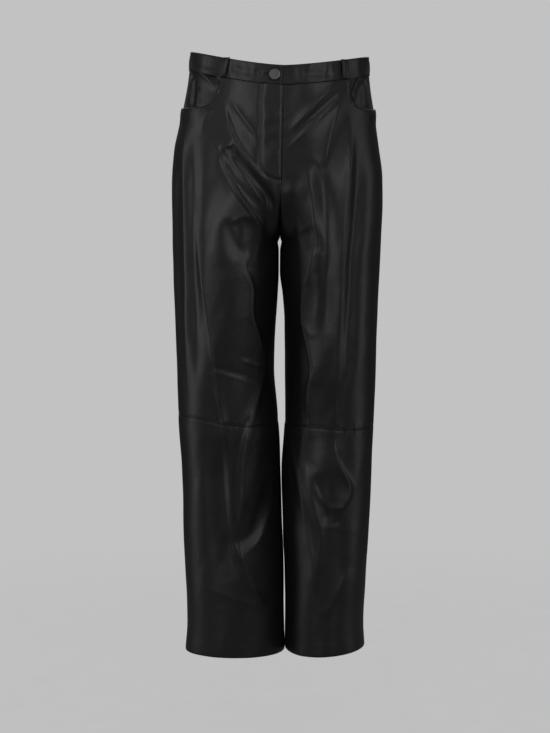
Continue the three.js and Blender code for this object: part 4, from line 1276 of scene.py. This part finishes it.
def makeButton():
    centre, right, up, normal = frameAt(button["x"], button["z"], button["seat"])
    sides = button["sides"]
    corners = [centre]
    for radius, height in button["profile"]:
        for k in range(sides):
            angle = 2 * math.pi * k / sides
            spoke = math.cos(angle) * right + math.sin(angle) * up
            corners.append(centre + normal * height + radius * spoke)
    corners.append(centre + normal * button["profile"][-1][1])
    faces, kinds = [], []
    rings = len(button["profile"])
    for k in range(sides):
        n = (k + 1) % sides
        faces.append((0, 1 + n, 1 + k))
        kinds.append(1)
        for ring in range(rings - 1):
            low, high = 1 + ring * sides, 1 + (ring + 1) * sides
            faces.append((low + k, low + n, high + n, high + k))
            kinds.append(1 if ring < button["darkRings"] else 0)
        top = 1 + (rings - 1) * sides
        faces.append((top + k, top + n, len(corners) - 1))
        kinds.append(0)
    mesh = bpy.data.meshes.new("shankButton")
    mesh.from_pydata([tuple(p * mm) for p in corners], [], faces)
    mesh.materials.append(finishes["gunmetal"])
    mesh.materials.append(finishes["blackNickel"])
    mesh.polygons.foreach_set("material_index", kinds)
    mesh.polygons.foreach_set("use_smooth", np.ones(len(faces), dtype=bool))
    mesh.update()
    mesh.set_sharp_from_angle(angle=math.radians(sharpAngle))
    dress(putInScene("shankButton", mesh), "button")


makeButton()
print("button made")


# Topstitching in black thread

sewing = {
    "stitch": (3.4, 2.6, 0.6),  # pitch, length and thickness
    "sides": 5, "sunk": 0.4,
    "mouthFirst": 2.4, "mouthSecond": 7, "mouthEnd": 5,  # from the pocket mouth's edge and the side seam
    "bandEdge": 2.6, "bandEnd": 3, "bandBack": 1.995, "loopEdge": 0.17,
    "flyTop": -48, "jTop": -47, "jEnd": 0.06,  # levels, and the angle that the J stops short of its foot
    "jSway": 1.3, "jSwayLength": 12.5,  # the J was sewn by hand and eye
    "hole": {
        # the bars' places along X, then how far apart, long, thick, off the middle and proud of the band
        "from": -34, "to": -17, "z": -29,
        "apart": 0.95, "reach": 2.7, "thick": 0.8, "gap": 0.6, "proud": 0.15,
    },
}


def stitchRow(points, normals, pitch, length, thick):
    # The corners and faces of a row of stitches along a path, each a small spindle half sunk in the skin
    steps = np.linalg.norm(np.diff(points, axis=0), axis=1)
    run = np.concatenate([[0], np.cumsum(steps)])
    sides = sewing["sides"]
    corners, faces = [], []
    for k in range(int(run[-1] / pitch)):
        start = k * pitch + (pitch - length) / 2
        places = start + length * np.array([0, 0.2, 0.8, 1])
        line = np.stack([np.interp(places, run, points[:, i]) for i in range(3)], axis=-1)
        up = np.array([np.interp(start + length / 2, run, normals[:, i]) for i in range(3)])
        up /= np.linalg.norm(up)
        along = line[-1] - line[0]
        along /= np.linalg.norm(along)
        beside = np.cross(along, up)
        base = len(corners)
        corners.append(line[0] - up * thick * sewing["sunk"])
        for centre in line[1:3]:
            for s in range(sides):
                angle = 2 * math.pi * s / sides
                corners.append(centre + thick / 2 * (math.cos(angle) * beside + math.sin(angle) * up))
        corners.append(line[3] - up * thick * sewing["sunk"])
        first, second, last = base + 1, base + 1 + sides, base + 1 + 2 * sides
        for s in range(sides):
            n = (s + 1) % sides
            faces.append((base, first + s, first + n))
            faces.append((first + s, second + s, second + n, first + n))
            faces.append((second + s, last, second + n))
    return corners, faces


def joinedStitches(name, rows, shift, stitch=sewing["stitch"], smooth=True):
    corners, faces = [], []
    for points, normals in rows:
        more, moreFaces = stitchRow(points, normals, *stitch)
        faces += [tuple(len(corners) + i for i in face) for face in moreFaces]
        corners += more
    mesh = bpy.data.meshes.new(name)
    mesh.from_pydata([tuple((p + np.array(shift)) * mm) for p in corners], [], faces)
    mesh.materials.append(finishes["thread"])
    mesh.polygons.foreach_set("use_smooth", np.full(len(faces), smooth))
    mesh.update()
    piece = putInScene(name, mesh)
    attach(piece, "root")


def rowByShare(side, half, u, z):
    # A row of stitches laid out by u and z
    plain = place(side, half, u, z)
    normal = panelNormal(side, half, u, z)
    lift = panelLift(side, half, plain[:, 0], z) + panelRelief(side, half, u, plain[:, 0], z)
    return plain + normal * lift[:, None], normal


def rowByX(side, half, x, z):
    # The same laid out by x and z, for lines well clear of the side seams
    def surface(a, level):
        return np.stack([a, depthAt(side, half, a, level), level], axis=-1)

    normal = normalOf(surface, x, z, 0.5, 1 if half == "front" else -1)
    u = shareOf(np.abs(x) / legs[side]["out"](z))
    lift = panelLift(side, half, x, z) + panelRelief(side, half, u, x, z)
    return surface(x, z) + normal * lift[:, None], normal


def insetMouth(side, distance):
    # The pocket mouth's edge moved into the front by a distance
    count = 160
    u, z = frontTopPath(side, count)
    u, z = u[count:], z[count:]
    x = place(side, "front", u, z)[:, 0]
    dx, dz = np.gradient(x), np.gradient(z)
    size = np.hypot(dx, dz)
    sign = legs[side]["sign"]
    x, z = x + sign * dz / size * distance, z - sign * dx / size * distance
    keep = np.abs(x) < legs[side]["out"](z) - sewing["mouthEnd"]
    return x[keep], z[keep]


def kneeRows(side, half):
    u = np.linspace(0.01, 0.99, 260)
    offsets = (relief["kneeStitch"], -relief["kneeStitch"])
    return [rowByShare(side, half, u, kneeLevel(side, u) + offset) for offset in offsets]


def flyRows():
    z = np.linspace(sewing["flyTop"], fly["bottom"] + 2, 200)
    edge = rowByX("right", "front", flyEdge(z) - relief["flyStitch"], z)
    down = np.linspace(sewing["jTop"], fly["curveStart"], 120)
    turn = np.linspace(0, math.pi / 2 - sewing["jEnd"], 60)
    curve = fly["curveStart"] + (fly["bottom"] - fly["curveStart"]) * np.sin(turn)[1:]
    zLine = np.concatenate([down, curve])
    beside = np.concatenate([np.ones_like(down), np.cos(turn)[1:]])
    sway = sewing["jSway"] * np.sin(zLine / sewing["jSwayLength"])
    xLine = flyEdge(zLine) - fly["width"] * beside - sway * beside
    return [edge, rowByX("right", "front", xLine, zLine)]


def sewPanels():
    for side in ("right", "left"):
        rows = []
        for distance in (sewing["mouthFirst"], sewing["mouthSecond"]):
            rows.append(rowByX(side, "front", *insetMouth(side, distance)))
        rows += kneeRows(side, "front")
        if side == "right":
            rows += flyRows()
        joinedStitches(f"frontStitches_{side}", rows, panelShift(side, "front"))
        joinedStitches(f"backStitches_{side}", kneeRows(side, "back"), panelShift(side, "back"))


def sewBand():
    for side in ("right", "left"):
        startX = band["lapEnd"] + legs[side]["sign"] * sewing["bandEnd"]
        startA = float(shareOf(legs[side]["sign"] * startX / legs[side]["out"](0)))
        a = np.linspace(startA, sewing["bandBack"], 700)
        rows = []
        for t in (sewing["bandEdge"] / band["height"], 1 - sewing["bandEdge"] / band["height"]):
            plain, normal, lift = bandFace(side, a, t + 0 * a)
            rows.append((plain + normal * lift[:, None], normal))
        if side == "right":
            t = np.linspace(0.1, 0.9, 40)
            plain, normal, lift = bandFace(side, startA + 0 * t, t)
            rows.append((plain + normal * lift[:, None], normal))
        joinedStitches(f"bandStitches_{side}", rows, (legs[side]["sign"] * seamGap / 2, 0, 0))


def sewLoops():
    for spot in loops["spots"]:
        rows = []
        t = np.linspace(0.04, 0.96, 60)
        for s in (sewing["loopEdge"], 1 - sewing["loopEdge"]):
            plain, normal, lift = loopFace(spot, s + 0 * t, t)
            rows.append((plain + normal * lift[:, None], normal))
        joinedStitches("loopStitches_" + spot[0], rows, loopShift(spot))


def sewButtonhole():
    # Close bars on both sides of a dark slit, which runs in under the button
    hole = sewing["hole"]
    rows = []
    for k in range(int((hole["to"] - hole["from"]) / hole["apart"])):
        centre, _, up, normal = frameAt(hole["from"] + k * hole["apart"], hole["z"], band["proud"])
        for side in (1, -1):
            t = np.array([0, 1])[:, None]
            line = centre + up * side * lerp(hole["gap"], hole["gap"] + hole["reach"], t)
            line = line + normal * (hole["proud"] - bandCut["bow"])
            rows.append((line, np.stack([normal, normal])))
    bar = (hole["reach"], hole["reach"], hole["thick"])
    joinedStitches("buttonhole", rows, (0, 0, 0), bar, smooth=False)


sewPanels()
sewBand()
sewLoops()
sewButtonhole()
print("stitches made")
